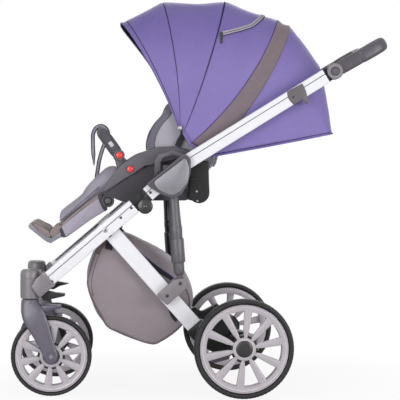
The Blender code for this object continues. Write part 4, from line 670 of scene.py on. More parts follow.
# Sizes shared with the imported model

TUBE_HEIGHT = 0.043
TUBE_Y = 0.207
TUBE_HALF_Y = 0.013
TUBE_OUTER_Y = 0.22
LOWER_SLOPE = math.radians(40.5)
UPPER_SLOPE = math.radians(31.7)
FOLD_PIVOT = (-0.163, 0.555)
LOWER_TOP = along(FOLD_PIVOT, LOWER_SLOPE, -0.0245, 0.0215)
LOWER_FOOT = along(LOWER_TOP, LOWER_SLOPE, -0.335)
STUB_START = along(FOLD_PIVOT, LOWER_SLOPE, 0.0285, 0.0215)
TUBE_BEND = along(STUB_START, LOWER_SLOPE, 0.13)
UPPER_TOP = along(TUBE_BEND, UPPER_SLOPE, 0.498)
FRONT_TRACK = 0.1875
REAR_TRACK = 0.28
FRONT_AXLE = (-0.437, 0.118)
REAR_AXLE = (0.12, 0.145)
SWIVEL_X = -0.498
# Each wheel's axle, the middle of its track, its rim's radius and its own
WHEELS = {"front": (FRONT_AXLE, FRONT_TRACK, 0.105, 0.118),
          "rear": (REAR_AXLE, REAR_TRACK, 0.128, 0.145)}
LEG_PIVOT = (-0.279, 0.486)
LEG_SLOPE = math.radians(-48.6)
LEG_LINE = along(LEG_PIVOT, LEG_SLOPE, 0.0, 0.008)
STRUT_FOOT = (-0.061, 0.33)
STRUT_HEAD = (-0.08, 0.59)
STRUT_Y = 0.205
STRUT_SLOPE = math.atan2(STRUT_HEAD[1] - STRUT_FOOT[1], STRUT_HEAD[0] - STRUT_FOOT[0])
HANDLE_PIVOT = (0.394, 0.95)
HANDLE_SLOPE = math.radians(30.0)
BAR_AT = along(HANDLE_PIVOT, HANDLE_SLOPE, 0.1535)


# Wheels

def tyre(name, end, side):
    """Rounded-square section turned about the axle, its tread cut by small cross grooves.

    The groove depth is a power of the cosine of the angle times the block count, and it
    only reaches where the section faces the ground.
    """
    centre, track, rim_radius, radius = WHEELS[end]
    middle = (rim_radius + 0.0004 + radius) / 2
    half = (radius - rim_radius - 0.0004) / 2
    section = oval(half, 0.018, 40, 3.0) + [middle, track]
    blocks = round(radius / 0.0019)

    def ripple(angle, y, r):
        outer = np.clip((r - radius + 0.0035) / 0.003, 0, 1)
        across = np.abs(y - track)
        groove = np.clip(4 * np.cos(angle * blocks) - 2.6, 0, 1)
        band = np.clip((across - 0.006) / 0.001, 0, 1)
        ring = np.clip(1 - np.abs(across - 0.0045) / 0.0012, 0, 1)
        return -outer * (0.0011 * groove * band + 0.001 * ring)

    ring = turned(section, centre, side, blocks * 6, ripple=ripple)
    make(f"{end}_tyre_skin_{name}", [ring], [TYRE_RUBBER], f"{end}_wheel_{name}", "tyre_black",
         [f"{end}_tyre_{name}"], crease=30)


def rim(name, end, side):
    """Rim ring with a raised bead in a lighter silver as a painted highlight, ten tapered spokes,
    a dark drum, a hub ring with a painted highlight band, and a cap.

    A spoke's half width grows with the power 0.8 of its share of the way to the rim.
    """
    centre, track, radius, _ = WHEELS[end]
    inside = radius - 0.019

    def lathed(profile, count, tone=0, bright=None):
        """A turned part whose profile is measured from the wheel's middle plane."""
        tone = np.full(len(profile), tone)
        if bright is not None:
            tone[bright] = 1
        return turned(np.array(profile) + [0, track], centre, side, count, tone)

    # The bead's faces take the lighter silver: a painted highlight.
    pieces = [lathed([
        (inside, -0.015), (inside, 0.0125), (inside + 0.0016, 0.0146), (inside + 0.008, 0.015),
        (radius - 0.0096, 0.0152), (radius - 0.009, 0.0166), (radius - 0.0066, 0.017),
        (radius - 0.0058, 0.015), (radius - 0.003, 0.0146), (radius - 0.0012, 0.0158),
        (radius, 0.015), (radius, -0.015), (radius - 0.002, -0.0158), (inside + 0.002, -0.0158)],
        160, 0, slice(4, 7))]
    far = np.linspace(0.029, inside + 0.002, 9)
    share = (far - 0.0335) / (inside - 0.0335)
    half_width = 0.5 * (0.0125 + 0.0115 * np.clip(share, 0, 1) ** 0.8)
    half_width[:2] = [0.0042, 0.0058]
    thick = 0.008 - 0.0012 * np.clip(1 - share, 0, 1)
    rings = oval(1.0, 1.0, 20, 5.0)[None] * np.stack([half_width, thick], 1)[:, None]
    for k in range(10):
        angle = math.radians(83.8 + 36 * k)
        heading = np.array([math.cos(angle), 0.0, math.sin(angle)])
        tangent = np.array([-math.sin(angle), 0.0, math.cos(angle)])
        path = np.array([centre[0], side * (track + 0.0065), centre[1]]) + far[:, None] * heading
        pieces.append(sweep(path, rings, tangent))
    drum = [
        (0.012, -0.0165), (0.0375, -0.016), (0.04, -0.014), (0.04, 0.0075), (0.0385, 0.009),
        (0.012, 0.0095)]
    hub_ring = [
        (0.024, 0.006), (0.0335, 0.006), (0.034, 0.012), (0.0328, 0.015), (0.029, 0.0158),
        (0.0272, 0.0158), (0.0266, 0.0166), (0.0254, 0.0166), (0.025, 0.014), (0.024, 0.013)]
    cap = [
        (0.0002, 0.015), (0.01, 0.015), (0.018, 0.0146), (0.0228, 0.0138), (0.0249, 0.0125),
        (0.0249, 0.005), (0.0002, 0.005)]
    back = [(0.0066, -0.0175), (0.013, -0.0175), (0.0135, -0.015), (0.0066, -0.015)]
    # The hub ring's band next to the cap takes the lighter silver: a painted highlight.
    pieces += [lathed(drum, 64, 2), lathed(hub_ring, 64, 0, slice(5, 8)), lathed(cap, 48, 3),
               lathed(back, 32, 2)]
    make(f"{end}_rim_skin_{name}", pieces, [WHEEL_SILVER, LIP_SILVER_HIGHLIGHT, BLACK_PLASTIC, CAP_BLACK],
         f"{end}_wheel_{name}", "wheel_silver", [f"{end}_rim_{name}"], crease=32)


# Chassis tubes

def tube_section(side):
    """Rounded rectangle with a shallow dark line cut in its outer face."""
    outline = rounded([
        (-TUBE_HALF_Y, -TUBE_HEIGHT / 2), (TUBE_HALF_Y, -TUBE_HEIGHT / 2),
        (TUBE_HALF_Y, TUBE_HEIGHT / 2), (-TUBE_HALF_Y, TUBE_HEIGHT / 2)], 0.0045, 4)
    line = TUBE_HEIGHT / 2 - 0.36 * TUBE_HEIGHT
    cut = np.array([
        (TUBE_HALF_Y, line - 0.0012), (TUBE_HALF_Y - 0.0012, line - 0.0009),
        (TUBE_HALF_Y - 0.0012, line + 0.0009), (TUBE_HALF_Y, line + 0.0012)])
    outline = np.concatenate([outline[:10], cut, outline[10:]])
    tone = np.zeros(len(outline), int)
    tone[10:13] = 1
    return outline * [side, 1], tone


def side_tube(name, path, side, body, stands_for):
    """A chassis tube: the section carried along its line in the side view."""
    section, tone = tube_section(side)
    path = at_depth(path, side * TUBE_Y)
    run = sweep(path, section, ACROSS)
    run["tones"] = np.tile(tone, len(path) - 1)
    return make(name, [run], [WHITE_PAINT, GROOVE_GREY], body, "white_tube", stands_for, crease=35)


def arc_path(corners, radius):
    """An open path in the side view with its inner corners rounded."""
    corners = np.asarray(corners, float)
    t = np.linspace(0, 1, 7)[:, None]
    runs = [corners[:1]]
    for before, corner, after in zip(corners[:-2], corners[1:-1], corners[2:]):
        start = corner + (before - corner) / np.linalg.norm(before - corner) * radius
        finish = corner + (after - corner) / np.linalg.norm(after - corner) * radius
        runs.append((1 - t) ** 2 * start + 2 * t * (1 - t) * corner + t ** 2 * finish)
    runs.append(corners[-1:])
    return np.concatenate(runs)


def rivets(name, places, face_y, side, body, slot, finish, radius):
    """Screw heads at some places of one face."""
    heads = [screw(place, face_y, side, radius) for place in places]
    return make(name, heads, [finish], body, slot)


# Down each fork arm: X, distance from the wheel's middle plane, Z, half width, half thickness
FORK_ARM = [
    (-0.4985, 0.008, 0.279, 0.0235, 0.016), (-0.4975, 0.011, 0.269, 0.0262, 0.016),
    (-0.4945, 0.016, 0.256, 0.03, 0.014), (-0.489, 0.0215, 0.242, 0.0335, 0.0112),
    (-0.48, 0.026, 0.222, 0.0325, 0.008), (-0.469, 0.028, 0.198, 0.029, 0.0062),
    (-0.458, 0.0284, 0.172, 0.0252, 0.0057), (-0.448, 0.0284, 0.148, 0.0225, 0.0056),
    (-0.4405, 0.0284, 0.127, 0.0212, 0.0056), (-0.436, 0.0284, 0.11, 0.0195, 0.0056),
    (-0.4335, 0.0284, 0.101, 0.014, 0.005), (-0.4325, 0.0284, 0.0972, 0.006, 0.0036)]


def fork_arm(side, sign):
    """Arm that grows out of the neck, spreads over the wheel and narrows to the axle's eye.

    Its section is a superellipse whose width, thickness and place follow smooth curves.
    """
    line = through(FORK_ARM, 44)
    path = np.stack([line[:, 0], side * (FRONT_TRACK + sign * line[:, 1]), line[:, 2]], 1)
    section = oval(1.0, 1.0, 36, 2.8)
    rings = section[None] * line[:, None, [4, 3]]
    return sweep(path, rings, ACROSS)


def shade_inner_half(piece, side):
    """Gives the faces of a strut that look to the pram's middle the black tone, as painted shade
    on that side.
    """
    centres = piece["points"].reshape(-1, 3)[piece["faces"]].mean(1)
    piece["tones"] = np.where(side * centres[:, 1] < STRUT_Y - 0.006, 1, 0)


def tubes(name, side):
    """Both tubes of one side with their rivets, a black cord and clip on the front leg's inner
    face as painted shade, and the fold hinge's halves.
    """
    lower = np.linspace(LOWER_FOOT, LOWER_TOP, 6)
    side_tube("front_leg_tube_skin_" + name, lower, side, "front_frame",
              ["front_leg_tube_" + name])
    bend = arc_path([STUB_START, TUBE_BEND, UPPER_TOP], 0.016)
    side_tube("upper_tube_skin_" + name, bend, side, "upper_frame", ["upper_tube_" + name])
    rivets("front_leg_rivets_" + name, [(-0.203, 0.55), (-0.234, 0.522)], TUBE_OUTER_Y, side,
           "front_frame", "black_plastic", DARK_STEEL, 0.0042)
    slot_line = [along((-0.264, 0.468), LOWER_SLOPE, far) for far in np.linspace(-0.005, 0.005, 5)]
    make("front_leg_slot_" + name,
         [bead(slot_line, side * (TUBE_OUTER_Y + 0.0002), (0.001, 0.0016, 8))], [CAP_BLACK],
         "front_frame", "black_plastic")
    # A black cord and clip along the front leg's upper inner edge: painted shade for the tube's
    # shaded inner face.
    strip = np.linspace(along(LOWER_TOP, LOWER_SLOPE, -0.02, 0.0175),
                        along(LOWER_FOOT, LOWER_SLOPE, 0.03, 0.0175), 24)
    clip = along(LOWER_TOP, LOWER_SLOPE, -0.108, 0.017)
    clip = np.linspace(along(clip, LOWER_SLOPE, -0.007), along(clip, LOWER_SLOPE, 0.007), 4)
    make("front_leg_shade_cord_" + name,
         [bead(strip, side * 0.192, (0.002, 0.002, 12)),
          bead(clip, side * 0.1925, (0.0022, 0.0044, 16, 3.0))],
         [CAP_BLACK], "front_frame", "black_plastic")
    rivets("stub_screw_" + name, [(-0.148, 0.595)], TUBE_OUTER_Y, side, "upper_frame",
           "black_plastic", DARK_STEEL, 0.0044)
    softened("fold_hinge_plug", "_" + name, BLACK_PLASTIC, "front_frame", "black_plastic",
             0.0012, piece="fold_plug")
    softened("hinge_clevis", "_" + name, BLACK_PLASTIC, "upper_frame", "black_plastic", 0.001)
    face = TUBE_OUTER_Y + 0.001
    disc = knob([(0.019, face + 0.0016), (0.0205, face + 0.0008), (0.0212, face - 0.001)],
                FOLD_PIVOT, side, 48)
    holes = [knob([(0.0012, face + 0.0019), (0.0014, face)],
                  (FOLD_PIVOT[0] + dx, FOLD_PIVOT[1]), side, 12, 1) for dx in (-0.003, 0.0034)]
    make("hinge_disc_" + name, [disc, *holes], [CAP_BLACK, PALE_PLASTIC], "upper_frame",
         "black_plastic", crease=35)


def caster(name, side):
    """Caster housing with the tube's collar, the fork below it and the swivel lock."""
    post = (SWIVEL_X, side * FRONT_TRACK)
    housing = turned_upright([
        (AXIS, 0.2865), (0.0262, 0.2865), (0.0282, 0.2885), (0.0288, 0.3), (0.0288, 0.344),
        (0.028, 0.3452), (0.028, 0.3468), (0.0288, 0.348), (0.0286, 0.357), (0.0275, 0.364),
        (0.0245, 0.3692), (0.019, 0.3714), (0.009, 0.3722), (AXIS, 0.3724)], post, 72)
    half = TUBE_HEIGHT / 2 + 0.0035
    foot = along(LOWER_FOOT, LOWER_SLOPE, -0.04)
    collar = plate(rounded([
        along(foot, LOWER_SLOPE, -0.004, 0.6 * half), along(foot, LOWER_SLOPE, -0.006, -half),
        along(LOWER_FOOT, LOWER_SLOPE, 0.012, -half), along(LOWER_FOOT, LOWER_SLOPE, 0.012, half),
        along(LOWER_FOOT, LOWER_SLOPE, -0.02, half)], 0.006, 4), 0.1905, 0.2235, side, 0.0028)
    lip = plate(bar_outline(LOWER_FOOT, LOWER_SLOPE, 0.002, 0.013, half + 0.0012, 0.003, 3),
                0.1893, 0.2247, side, 0.0016)
    make("caster_housing_skin_" + name, [housing, collar, lip], [HOUSING_PLASTIC],
         "front_frame", "dark_plastic", ["caster_housing_" + name], crease=30)
    rivets("collar_screws_" + name, [(-0.452, 0.3545), (-0.4335, 0.3375)], 0.2235, side,
           "front_frame", "dark_plastic", CAP_BLACK, 0.004)
    neck = turned_upright([
        (AXIS, 0.242), (0.0262, 0.2425), (0.0272, 0.245), (0.027, 0.272), (0.0262, 0.28),
        (0.0244, 0.2836), (AXIS, 0.2838)], post, 64)
    crown_outline = rounded([
        (-0.519, 0.242), (-0.47, 0.2445), (-0.408, 0.258), (-0.408, 0.266), (-0.455, 0.269),
        (-0.49, 0.26), (-0.522, 0.256)], 0.005, 4)
    crown = plate(crown_outline, FRONT_TRACK - 0.024, FRONT_TRACK + 0.024, side, 0.005)
    arms = []
    for sign in (-1, 1):
        arms.append(fork_arm(side, sign))
        outer = FRONT_TRACK + sign * 0.034
        low, rise = (outer, 0.0022) if sign > 0 else (outer - 0.0022, 0.0)
        arms.append(knob([
            (0.0095, low + 0.0002), (0.0105, low + rise), (0.0145, low + rise),
            (0.0155, low + 0.0006), (0.0155, low - 0.001)], FRONT_AXLE, side, 40))
    stem = turned_upright([
        (AXIS, 0.283), (0.0079, 0.283), (0.0079, 0.287), (AXIS, 0.287)], post, 24)
    make("fork_skin_" + name, [neck, crown, stem, *arms], [FORK_PLASTIC], "caster_" + name,
         "fork_plastic", ["fork_" + name], crease=32)
    cap = turned([
        (AXIS, FRONT_TRACK + 0.036), (0.0058, FRONT_TRACK + 0.0358),
        (0.0072, FRONT_TRACK + 0.0346), (0.0072, FRONT_TRACK + 0.033),
        (AXIS, FRONT_TRACK + 0.033)], FRONT_AXLE, side, 32)
    make("front_axle_cap_" + name, [cap], [HOUSING_PLASTIC], "caster_" + name,
         "dark_plastic", crease=35)
    softened("swivel_lock", "_" + name, BLACK_PLASTIC, "swivel_lock_" + name, "black_plastic",
             0.0018, 3)


def rear_leg(name, side):
    """Rear leg with its pivot bolt and bracket, and the two halves of the sprung strut."""
    leg = plate(bar_outline(LEG_LINE, LEG_SLOPE, -0.022, 0.418, 0.024, 0.006, 4), 0.17, 0.19,
                side, 0.0032, 4)
    bolt = knob([
        (0.0052, 0.2222), (0.0068, 0.2214), (0.0074, 0.22), (0.005, 0.2198), (0.005, 0.188)],
        LEG_PIVOT, side, 32, 1)
    socket = turned([
        (AXIS, 0.2225), (0.003, 0.2225), (0.0034, 0.2215), (AXIS, 0.221)], LEG_PIVOT, side, 6, 2)
    make("rear_leg_skin_" + name, [leg, bolt, socket], [WHITE_PAINT, STEEL, DARK_STEEL],
         "rear_legs", "white_tube", ["rear_leg_" + name], crease=35)
    softened("strut_bracket", "_" + name, HOUSING_PLASTIC, "rear_legs", "dark_plastic", 0.0022, 3)
    rivets("strut_bracket_rivets_" + name, [(-0.099, 0.294), (-0.061, 0.33)], 0.2205, side,
           "rear_legs", "dark_plastic", CAP_BLACK, 0.0052)
    sleeve = turned_slanted([
        (0.022, AXIS), (0.022, 0.009), (0.027, 0.014), (0.031, 0.0158), (0.045, 0.0162),
        (0.059, 0.0163), (0.061, 0.02), (0.0635, 0.0206), (0.127, 0.0206), (0.13, 0.02),
        (0.1312, 0.0185), (0.129, 0.018), (0.12, 0.018), (0.12, AXIS)], STRUT_FOOT, STRUT_SLOPE,
        side * STRUT_Y, 56)
    tongue = plate(rounded([along(STRUT_FOOT, STRUT_SLOPE, -0.012, -0.011),
                            along(STRUT_FOOT, STRUT_SLOPE, 0.04, -0.01),
                            along(STRUT_FOOT, STRUT_SLOPE, 0.04, 0.01),
                            along(STRUT_FOOT, STRUT_SLOPE, -0.012, 0.011)], 0.01, 4),
                   0.1985, 0.2115, side, 0.001)
    # The sleeve's inner half is black as painted shade.
    shade_inner_half(sleeve, side)
    make("strut_sleeve_skin_" + name, [sleeve, tongue], [STRUT_PLASTIC, CAP_BLACK],
         "strut_" + name, "dark_plastic", ["strut_sleeve_" + name], crease=32)
    length = math.dist(STRUT_FOOT, STRUT_HEAD)
    rod = turned_slanted([
        (0.105, AXIS), (0.105, 0.0172), (0.144, 0.0176), (0.15, 0.0182), (0.164, 0.0181),
        (0.166, 0.0171), (0.169, 0.0172), (0.2, 0.0158), (length - 0.012, 0.0148), (length, 0.011),
        (length + 0.004, AXIS)], STRUT_FOOT, STRUT_SLOPE, side * STRUT_Y, 56)
    # The rod's inner half is black as painted shade.
    shade_inner_half(rod, side)
    make("strut_rod_skin_" + name, [rod], [STRUT_PLASTIC, CAP_BLACK], "strut_rod_" + name,
         "dark_plastic", ["strut_rod_" + name], crease=32)


HUB_OUTLINE = [
    (-0.1595, 0.62), (-0.048, 0.71), (-0.031, 0.693), (-0.031, 0.655), (-0.041, 0.617),
    (-0.061, 0.587), (-0.086, 0.579), (-0.12, 0.5915), (-0.15, 0.61)]
COVER_OUTLINE = [
    (-0.141, 0.626), (-0.045, 0.699), (-0.035, 0.666), (-0.039, 0.626), (-0.066, 0.5935),
    (-0.087, 0.5855), (-0.127, 0.602)]


def hub(name, side):
    """Casing with a raised dark rim, a crowned silver cover in it and the adaptor loop."""
    softened("hub_body", "_" + name, DARK_PLASTIC, "upper_frame", "dark_plastic", 0.0022, 3)
    cover = rounded(COVER_OUTLINE, 0.014, 6)
    dome = plate(cover, 0.2403, 0.2455, side, 0.0022, 4, 0.0038, 0, 7)
    make("hub_cover_skin_" + name, [dome], [COVER_SILVER], "upper_frame", "silver_cover",
         ["hub_cover_" + name], crease=50)
    outer = rounded(HUB_OUTLINE, 0.012, 6)
    edge = bead(outer + inward(outer) * 0.0036, side * 0.2402, (0.003, 0.0036, 12, 2.6),
                closed=True)
    make("hub_rim_" + name, [edge], [DARK_PLASTIC], "upper_frame", "dark_plastic", crease=0)
    rivets("hub_loop_screw_" + name, [(-0.1265, 0.656)], 0.2066, side, "upper_frame",
           "dark_plastic", DARK_STEEL, 0.005)


def release_collar(name, side):
    """The sliding collar with its hooked finger grip and rivet."""
    outline = rounded([
        (0.2513, 0.8895), (0.2531, 0.8767), (0.2578, 0.8662), (0.2648, 0.8575), (0.2725, 0.851),
        (0.3031, 0.8693), (0.3078, 0.8623), (0.3149, 0.8541), (0.3122, 0.8638), (0.3113, 0.874),
        (0.3083, 0.8903), (0.3024, 0.9037), (0.2965, 0.914)], 0.003, 3)
    sleeve = plate(outline, 0.1905, 0.2232, side, 0.0034, 5, 0.001, 0, 5)
    make("release_collar_skin_" + name, [sleeve], [COLLAR_PLASTIC], "collar_" + name,
         "dark_plastic", ["release_collar_" + name], crease=38)
    rivets("collar_rivet_" + name, [(0.27, 0.874)], 0.2236, side, "collar_" + name,
           "dark_plastic", CAP_BLACK, 0.003)


# Along each handle arm: distance, Y, half height, half thickness; then round the corner
ARM_LINE = [
    (0.018, 0.2085, 0.0196, 0.009), (0.03, 0.2085, 0.0198, 0.0105), (0.06, 0.208, 0.0201, 0.0112),
    (0.0865, 0.208, 0.0203, 0.0116)]
CORNER_LINE = [
    (0.087, 0.2078, 0.0206, 0.0118), (0.096, 0.2078, 0.0213, 0.0128),
    (0.118, 0.2068, 0.0218, 0.0138), (0.139, 0.2042, 0.0218, 0.015),
    (0.154, 0.1985, 0.0215, 0.0164), (0.162, 0.189, 0.0208, 0.0174),
    (0.161, 0.1785, 0.0196, 0.0178), (0.157, 0.169, 0.0184, 0.0178)]


def handle_arm(values, side, steps, tone):
    """Arm whose oval section follows smooth curves of place and size, ends rounded in."""
    line = through(values, steps)
    spot = np.stack(along(HANDLE_PIVOT, HANDLE_SLOPE, line[:, 0]), 1)
    path = np.stack([spot[:, 0], side * line[:, 1], spot[:, 1]], 1)
    size = np.ones(steps)
    size[[0, -1]] = 0.93
    section = oval(1.0, 1.0, 40, 2.7)
    rings = section[None] * (line[:, None, [2, 3]] * size[:, None, None])
    rise = (-math.sin(HANDLE_SLOPE), 0.0, math.cos(HANDLE_SLOPE))
    return sweep(path, rings, rise, tone=tone)


def handle():
    """Both arms, the bar between them with its stitched grip, and the tilt buttons."""
    arms = []
    for side in SIDES.values():
        arms.append(handle_arm(ARM_LINE, side, 26, 0))
        arms.append(handle_arm(CORNER_LINE, side, 48, 1))
        arms.append(knob([(0.0238, 0.206), (0.0238, 0.218)], HANDLE_PIVOT, side, 56))
    bar = np.stack([np.full(9, BAR_AT[0]), np.linspace(-0.17, 0.17, 9), np.full(9, BAR_AT[1])], 1)
    arms.append(sweep(bar, oval(0.0128, 0.0128, 32), (0, 0, 1)))
    make("handle_bar_skin", arms, [ARM_PLASTIC, CORNER_HIDE], "handle", "dark_plastic",
         ["handle_bar"], crease=50)
    turn = np.linspace(-1, 1, 45)
    radius = 0.0172 - 0.0012 * np.abs(turn) ** 24
    radius[[0, -1]] = 0.0135
    profile = np.stack([radius, 0.165 * turn], 1)
    profile = np.concatenate([profile, [(0.0131, 0.165), (0.0131, -0.165)]])
    sleeve = turned(profile, BAR_AT, 1, 64)
    ends = [turned([
        (0.0134, y - 0.003), (0.0179, y - 0.003), (0.0183, y), (0.0179, y + 0.003),
        (0.0134, y + 0.003)], BAR_AT, 1, 48, 1) for y in (-0.168, 0.168)]
    make("handle_grip_skin", [sleeve, *ends], [GRIP_HIDE, DARK_PLASTIC], "handle",
         "grip_leather", ["handle_grip"])
    stitch_y = np.linspace(-0.158, 0.158, 64)
    down = math.radians(205)
    at = np.array([BAR_AT[0] + 0.0174 * math.cos(down), 0, BAR_AT[1] + 0.0174 * math.sin(down)])
    stitches = []
    for shift in (-0.0024, 0.0024):
        sideways = shift * np.array([-math.sin(down), 0, math.cos(down)])
        centres = at + sideways + stitch_y[:, None] * np.array([0, 1, 0])
        angle = np.linspace(0, np.pi, 4)
        bow = np.stack([math.cos(down) * 0.0006 * np.sin(angle), 0.0016 * np.cos(angle),
                        math.sin(down) * 0.0006 * np.sin(angle)], 1)
        stitches += [sweep(c + bow, oval(0.0005, 0.0004, 5), (0.3, 0, 1)) for c in centres]
    make("handle_grip_stitches", stitches, [GREY_WEB], "handle", "grip_leather", crease=0)
    for name, side in SIDES.items():
        softened("handle_joint", "_" + name, BLACK_PLASTIC, "upper_frame", "black_plastic",
                 0.0016, 3)
        ring = knob([
            (0.007, 0.2236), (0.0084, 0.2226), (0.01, 0.2226), (0.0112, 0.222), (0.0117, 0.22),
            (0.0117, 0.2112)], HANDLE_PIVOT, side, 48)
        make("handle_button_skin_" + name, [ring], [DARK_PLASTIC], "handle_button_" + name,
             "dark_plastic", ["handle_button_" + name], crease=35)
        disc = turned([
            (0.013, 0.2206), (0.0136, 0.2212), (0.0215, 0.2212), (0.0232, 0.22), (0.0236, 0.218),
            (0.013, 0.218)], HANDLE_PIVOT, side, 56)
        make("handle_disc_ring_" + name, [disc], [HOUSING_PLASTIC], "handle", "dark_plastic",
             crease=35)


def cross_parts():
    """Rear axle, brake pedal and front cross tube."""
    softened("rear_axle", "", BLACK_PLASTIC, "rear_legs", "black_plastic", 0.002)
    softened("brake_pedal", "", DARK_PLASTIC, "brake", "dark_plastic", 0.002, 3)
    softened("front_cross_tube", "", HOUSING_PLASTIC, "front_frame", "dark_plastic", 0.0006)


# Hood

# Each bow: foot, middle control and top in the side view, then its half width
BOWS = {
    "front": ((-0.062, 0.785), (-0.115, 0.932), (-0.231, 1.105), 0.166),
    "second": ((-0.058, 0.783), (-0.06, 0.96), (-0.106, 1.169), 0.176),
    "third": ((-0.05, 0.77), (0.02, 0.93), (0.083, 1.171), 0.182),
    "band_front": ((-0.03, 0.736), (0.155, 0.89), (0.243, 1.118), 0.184),
    "band_rear": ((0.03, 0.7), (0.2, 0.88), (0.283, 1.098), 0.184),
    "hood_high": ((0.19, 0.729), (0.3, 0.86), (0.372, 0.978), 0.184),
    "hood_low": ((0.3, 0.75), (0.35, 0.82), (0.388, 0.895), 0.184),
    "hood_hem": ((0.384, 0.767), (0.388, 0.7685), (0.402, 0.7705), 0.184),
}
# How much further back the front bow's middle lies on the far side
FRONT_LEAN = 0.052
HOOD_COLUMNS = 121
HOOD_MIDDLE = np.array([0.08, 0.0, 0.8])


def bow_values(name):
    """A bow's numbers in one row, for blending with its neighbour's."""
    foot, bulge, top, half = BOWS[name]
    return np.array([*foot, *bulge, *top, half, FRONT_LEAN if name == "front" else 0.0])


def bow_points(values, u):
    """Points on bows: a quadratic curve in side view whose parameter is sin(pi u)^0.66.

    The width is half times the sign of cos(pi u) times its size to the power 0.55. A
    leaning bow's middle control lies further back on the far side.
    """
    values = np.asarray(values, float)
    lift = np.sin(np.pi * u) ** 0.66
    cosine = np.cos(np.pi * u)
    width = np.sign(cosine) * np.abs(cosine) ** 0.55
    spot = ((1 - lift) ** 2 * values[..., 0:2] + 2 * lift * (1 - lift) * values[..., 2:4]
            + lift ** 2 * values[..., 4:6])
    spot[..., :1] += lift * (1 - lift) * values[..., 7:8] * (1 - width)
    return np.concatenate([spot[..., :1], -values[..., 6:7] * width, spot[..., 1:]], -1)


def even_columns(count):
    """Shares u from 0 to 1 that are close together at the feet, where bows curve most."""
    t = np.linspace(0, 1, count)
    return np.clip(t - 0.09 * np.sin(2 * np.pi * t) * 0.9, 0, 1)


def cloth_normals(points):
    """Unit normals of a lattice, from the cross product of its two gradients."""
    down = np.gradient(points, axis=0)
    across = np.gradient(points, axis=1)
    normal = np.cross(down, across)
    normal /= np.linalg.norm(normal, axis=2, keepdims=True) + 1e-12
    away = points - HOOD_MIDDLE
    sign = np.sign(np.sum(normal * away, 2, keepdims=True).mean())
    return normal * sign


def hood_surface(names, shares, columns):
    """Straight rows between neighbouring bows; shares count bows, so 1.5 is half way on."""
    values = np.array([bow_values(name) for name in names])
    k = np.clip(shares.astype(int), 0, len(names) - 2)
    s = (shares - k)[:, None]
    between = (1 - s) * values[k] + s * values[k + 1]
    return bow_points(between[:, None, :], even_columns(columns)[None, :, None])


def bump(distance, width):
    """1 at distance 0, falling smoothly to 0 at width."""
    t = np.clip(np.abs(distance) / width, 0, 1)
    return 1 - t * t * (3 - 2 * t)


def wrinkles(points, seed, size=0.05, height=0.0012):
    """Sum of a few slanted sine waves of different lengths, as soft puckers in cloth."""
    rng = np.random.default_rng(seed)
    total = np.zeros(points.shape[:2])
    for _ in range(7):
        heading = rng.normal(size=3) * [1, 0.6, 1]
        heading /= np.linalg.norm(heading)
        wave = 2 * np.pi / (size * rng.uniform(0.6, 2.2))
        phase = rng.uniform(0, 6.28)
        total += np.sin(points @ heading * wave + phase) * rng.uniform(0.4, 1.0)
    return height * total / 3.5


# The vent zip over the hood's rear: shares between its two bows, places along them
ZIP_LINE = [(0.07, 0.236), (0.25, 0.261), (0.44, 0.293), (0.62, 0.342), (0.72, 0.43), (0.74, 0.5)]
ZIP_LINE += [(share, 1 - place) for share, place in ZIP_LINE[-2::-1]]


def hood_panel(part_name, names, shares, body, seams, seed, sag, edges=(), band=None, flap=None):
    """A stretched hood section with sewn grooves, its hems rolled and its lining dark.

    The cloth is sampled at some shares of the bows. Along each seam share it dips, along
    each edge share it rises, and between two bows it sinks by sag times sin(pi share)^2.
    """
    points = hood_surface(names, shares, HOOD_COLUMNS)
    normal = cloth_normals(points)
    spread = np.linalg.norm(np.diff(points[:, HOOD_COLUMNS // 2], axis=0), axis=1)
    far = np.concatenate([[0], np.cumsum(spread)])
    lift = np.zeros(points.shape[:2])
    u = even_columns(HOOD_COLUMNS)[None, :]
    full = np.clip(np.sin(np.pi * u) * 4.0, 0, 1)
    for place in np.interp(seams, shares, far):
        lift -= 0.0018 * bump(far[:, None] - place, 0.0065)
    for place in np.interp(edges, shares, far):
        lift += 0.0011 * bump(far[:, None] - place, 0.005)
    belly = np.sin(np.pi * (shares - np.floor(shares)))[:, None] ** 2
    sag = np.where(shares[:, None] > 2, -0.0015, sag)
    lift -= sag * full * belly * np.clip(1.6 * np.sin(np.pi * u) ** 2, 0.35, 1)
    lift += wrinkles(points, seed, 0.09, 0.001) * (0.35 + 0.65 * full)
    if flap is not None:
        route = through(flap, 80)
        order = np.argsort(route[:, 1])
        reach = np.interp(u[0], route[order, 1], route[order, 0], -1.0, -1.0)
        lift += 0.0016 * (1 - np.clip((shares[:, None] - reach[None]) / 0.02, 0, 1)) * full
    if band is not None:
        inside = ((shares >= band[0] - 1e-6) & (shares <= band[1] + 1e-6)).astype(float)
        lift += 0.0024 * inside[:, None]
    points = points + lift[..., None] * normal
    tone = np.zeros((len(shares) - 1, HOOD_COLUMNS - 1), int)
    if band is not None:
        middle = (shares[:-1] + shares[1:]) / 2
        tone[(middle > band[0]) & (middle < band[1])] = 1
    cloth = make(part_name + "_cloth", [part(points, tone=tone)], [HOOD_CLOTH, BAND_CLOTH], body,
                 "hood_purple", [part_name], crease=0, outward=False, thick=0.0014,
                 inside=LINING)
    cloth_area(points)
    oriented_out(cloth, HOOD_MIDDLE)
    return points, normal


def cloth_area(points):
    """Area of a lattice: the lengths of the cross products of its cells' edges, added up."""
    cells = np.cross(points[1:, :-1] - points[:-1, :-1], points[:-1, 1:] - points[:-1, :-1])
    return float(np.linalg.norm(cells, axis=2).sum())


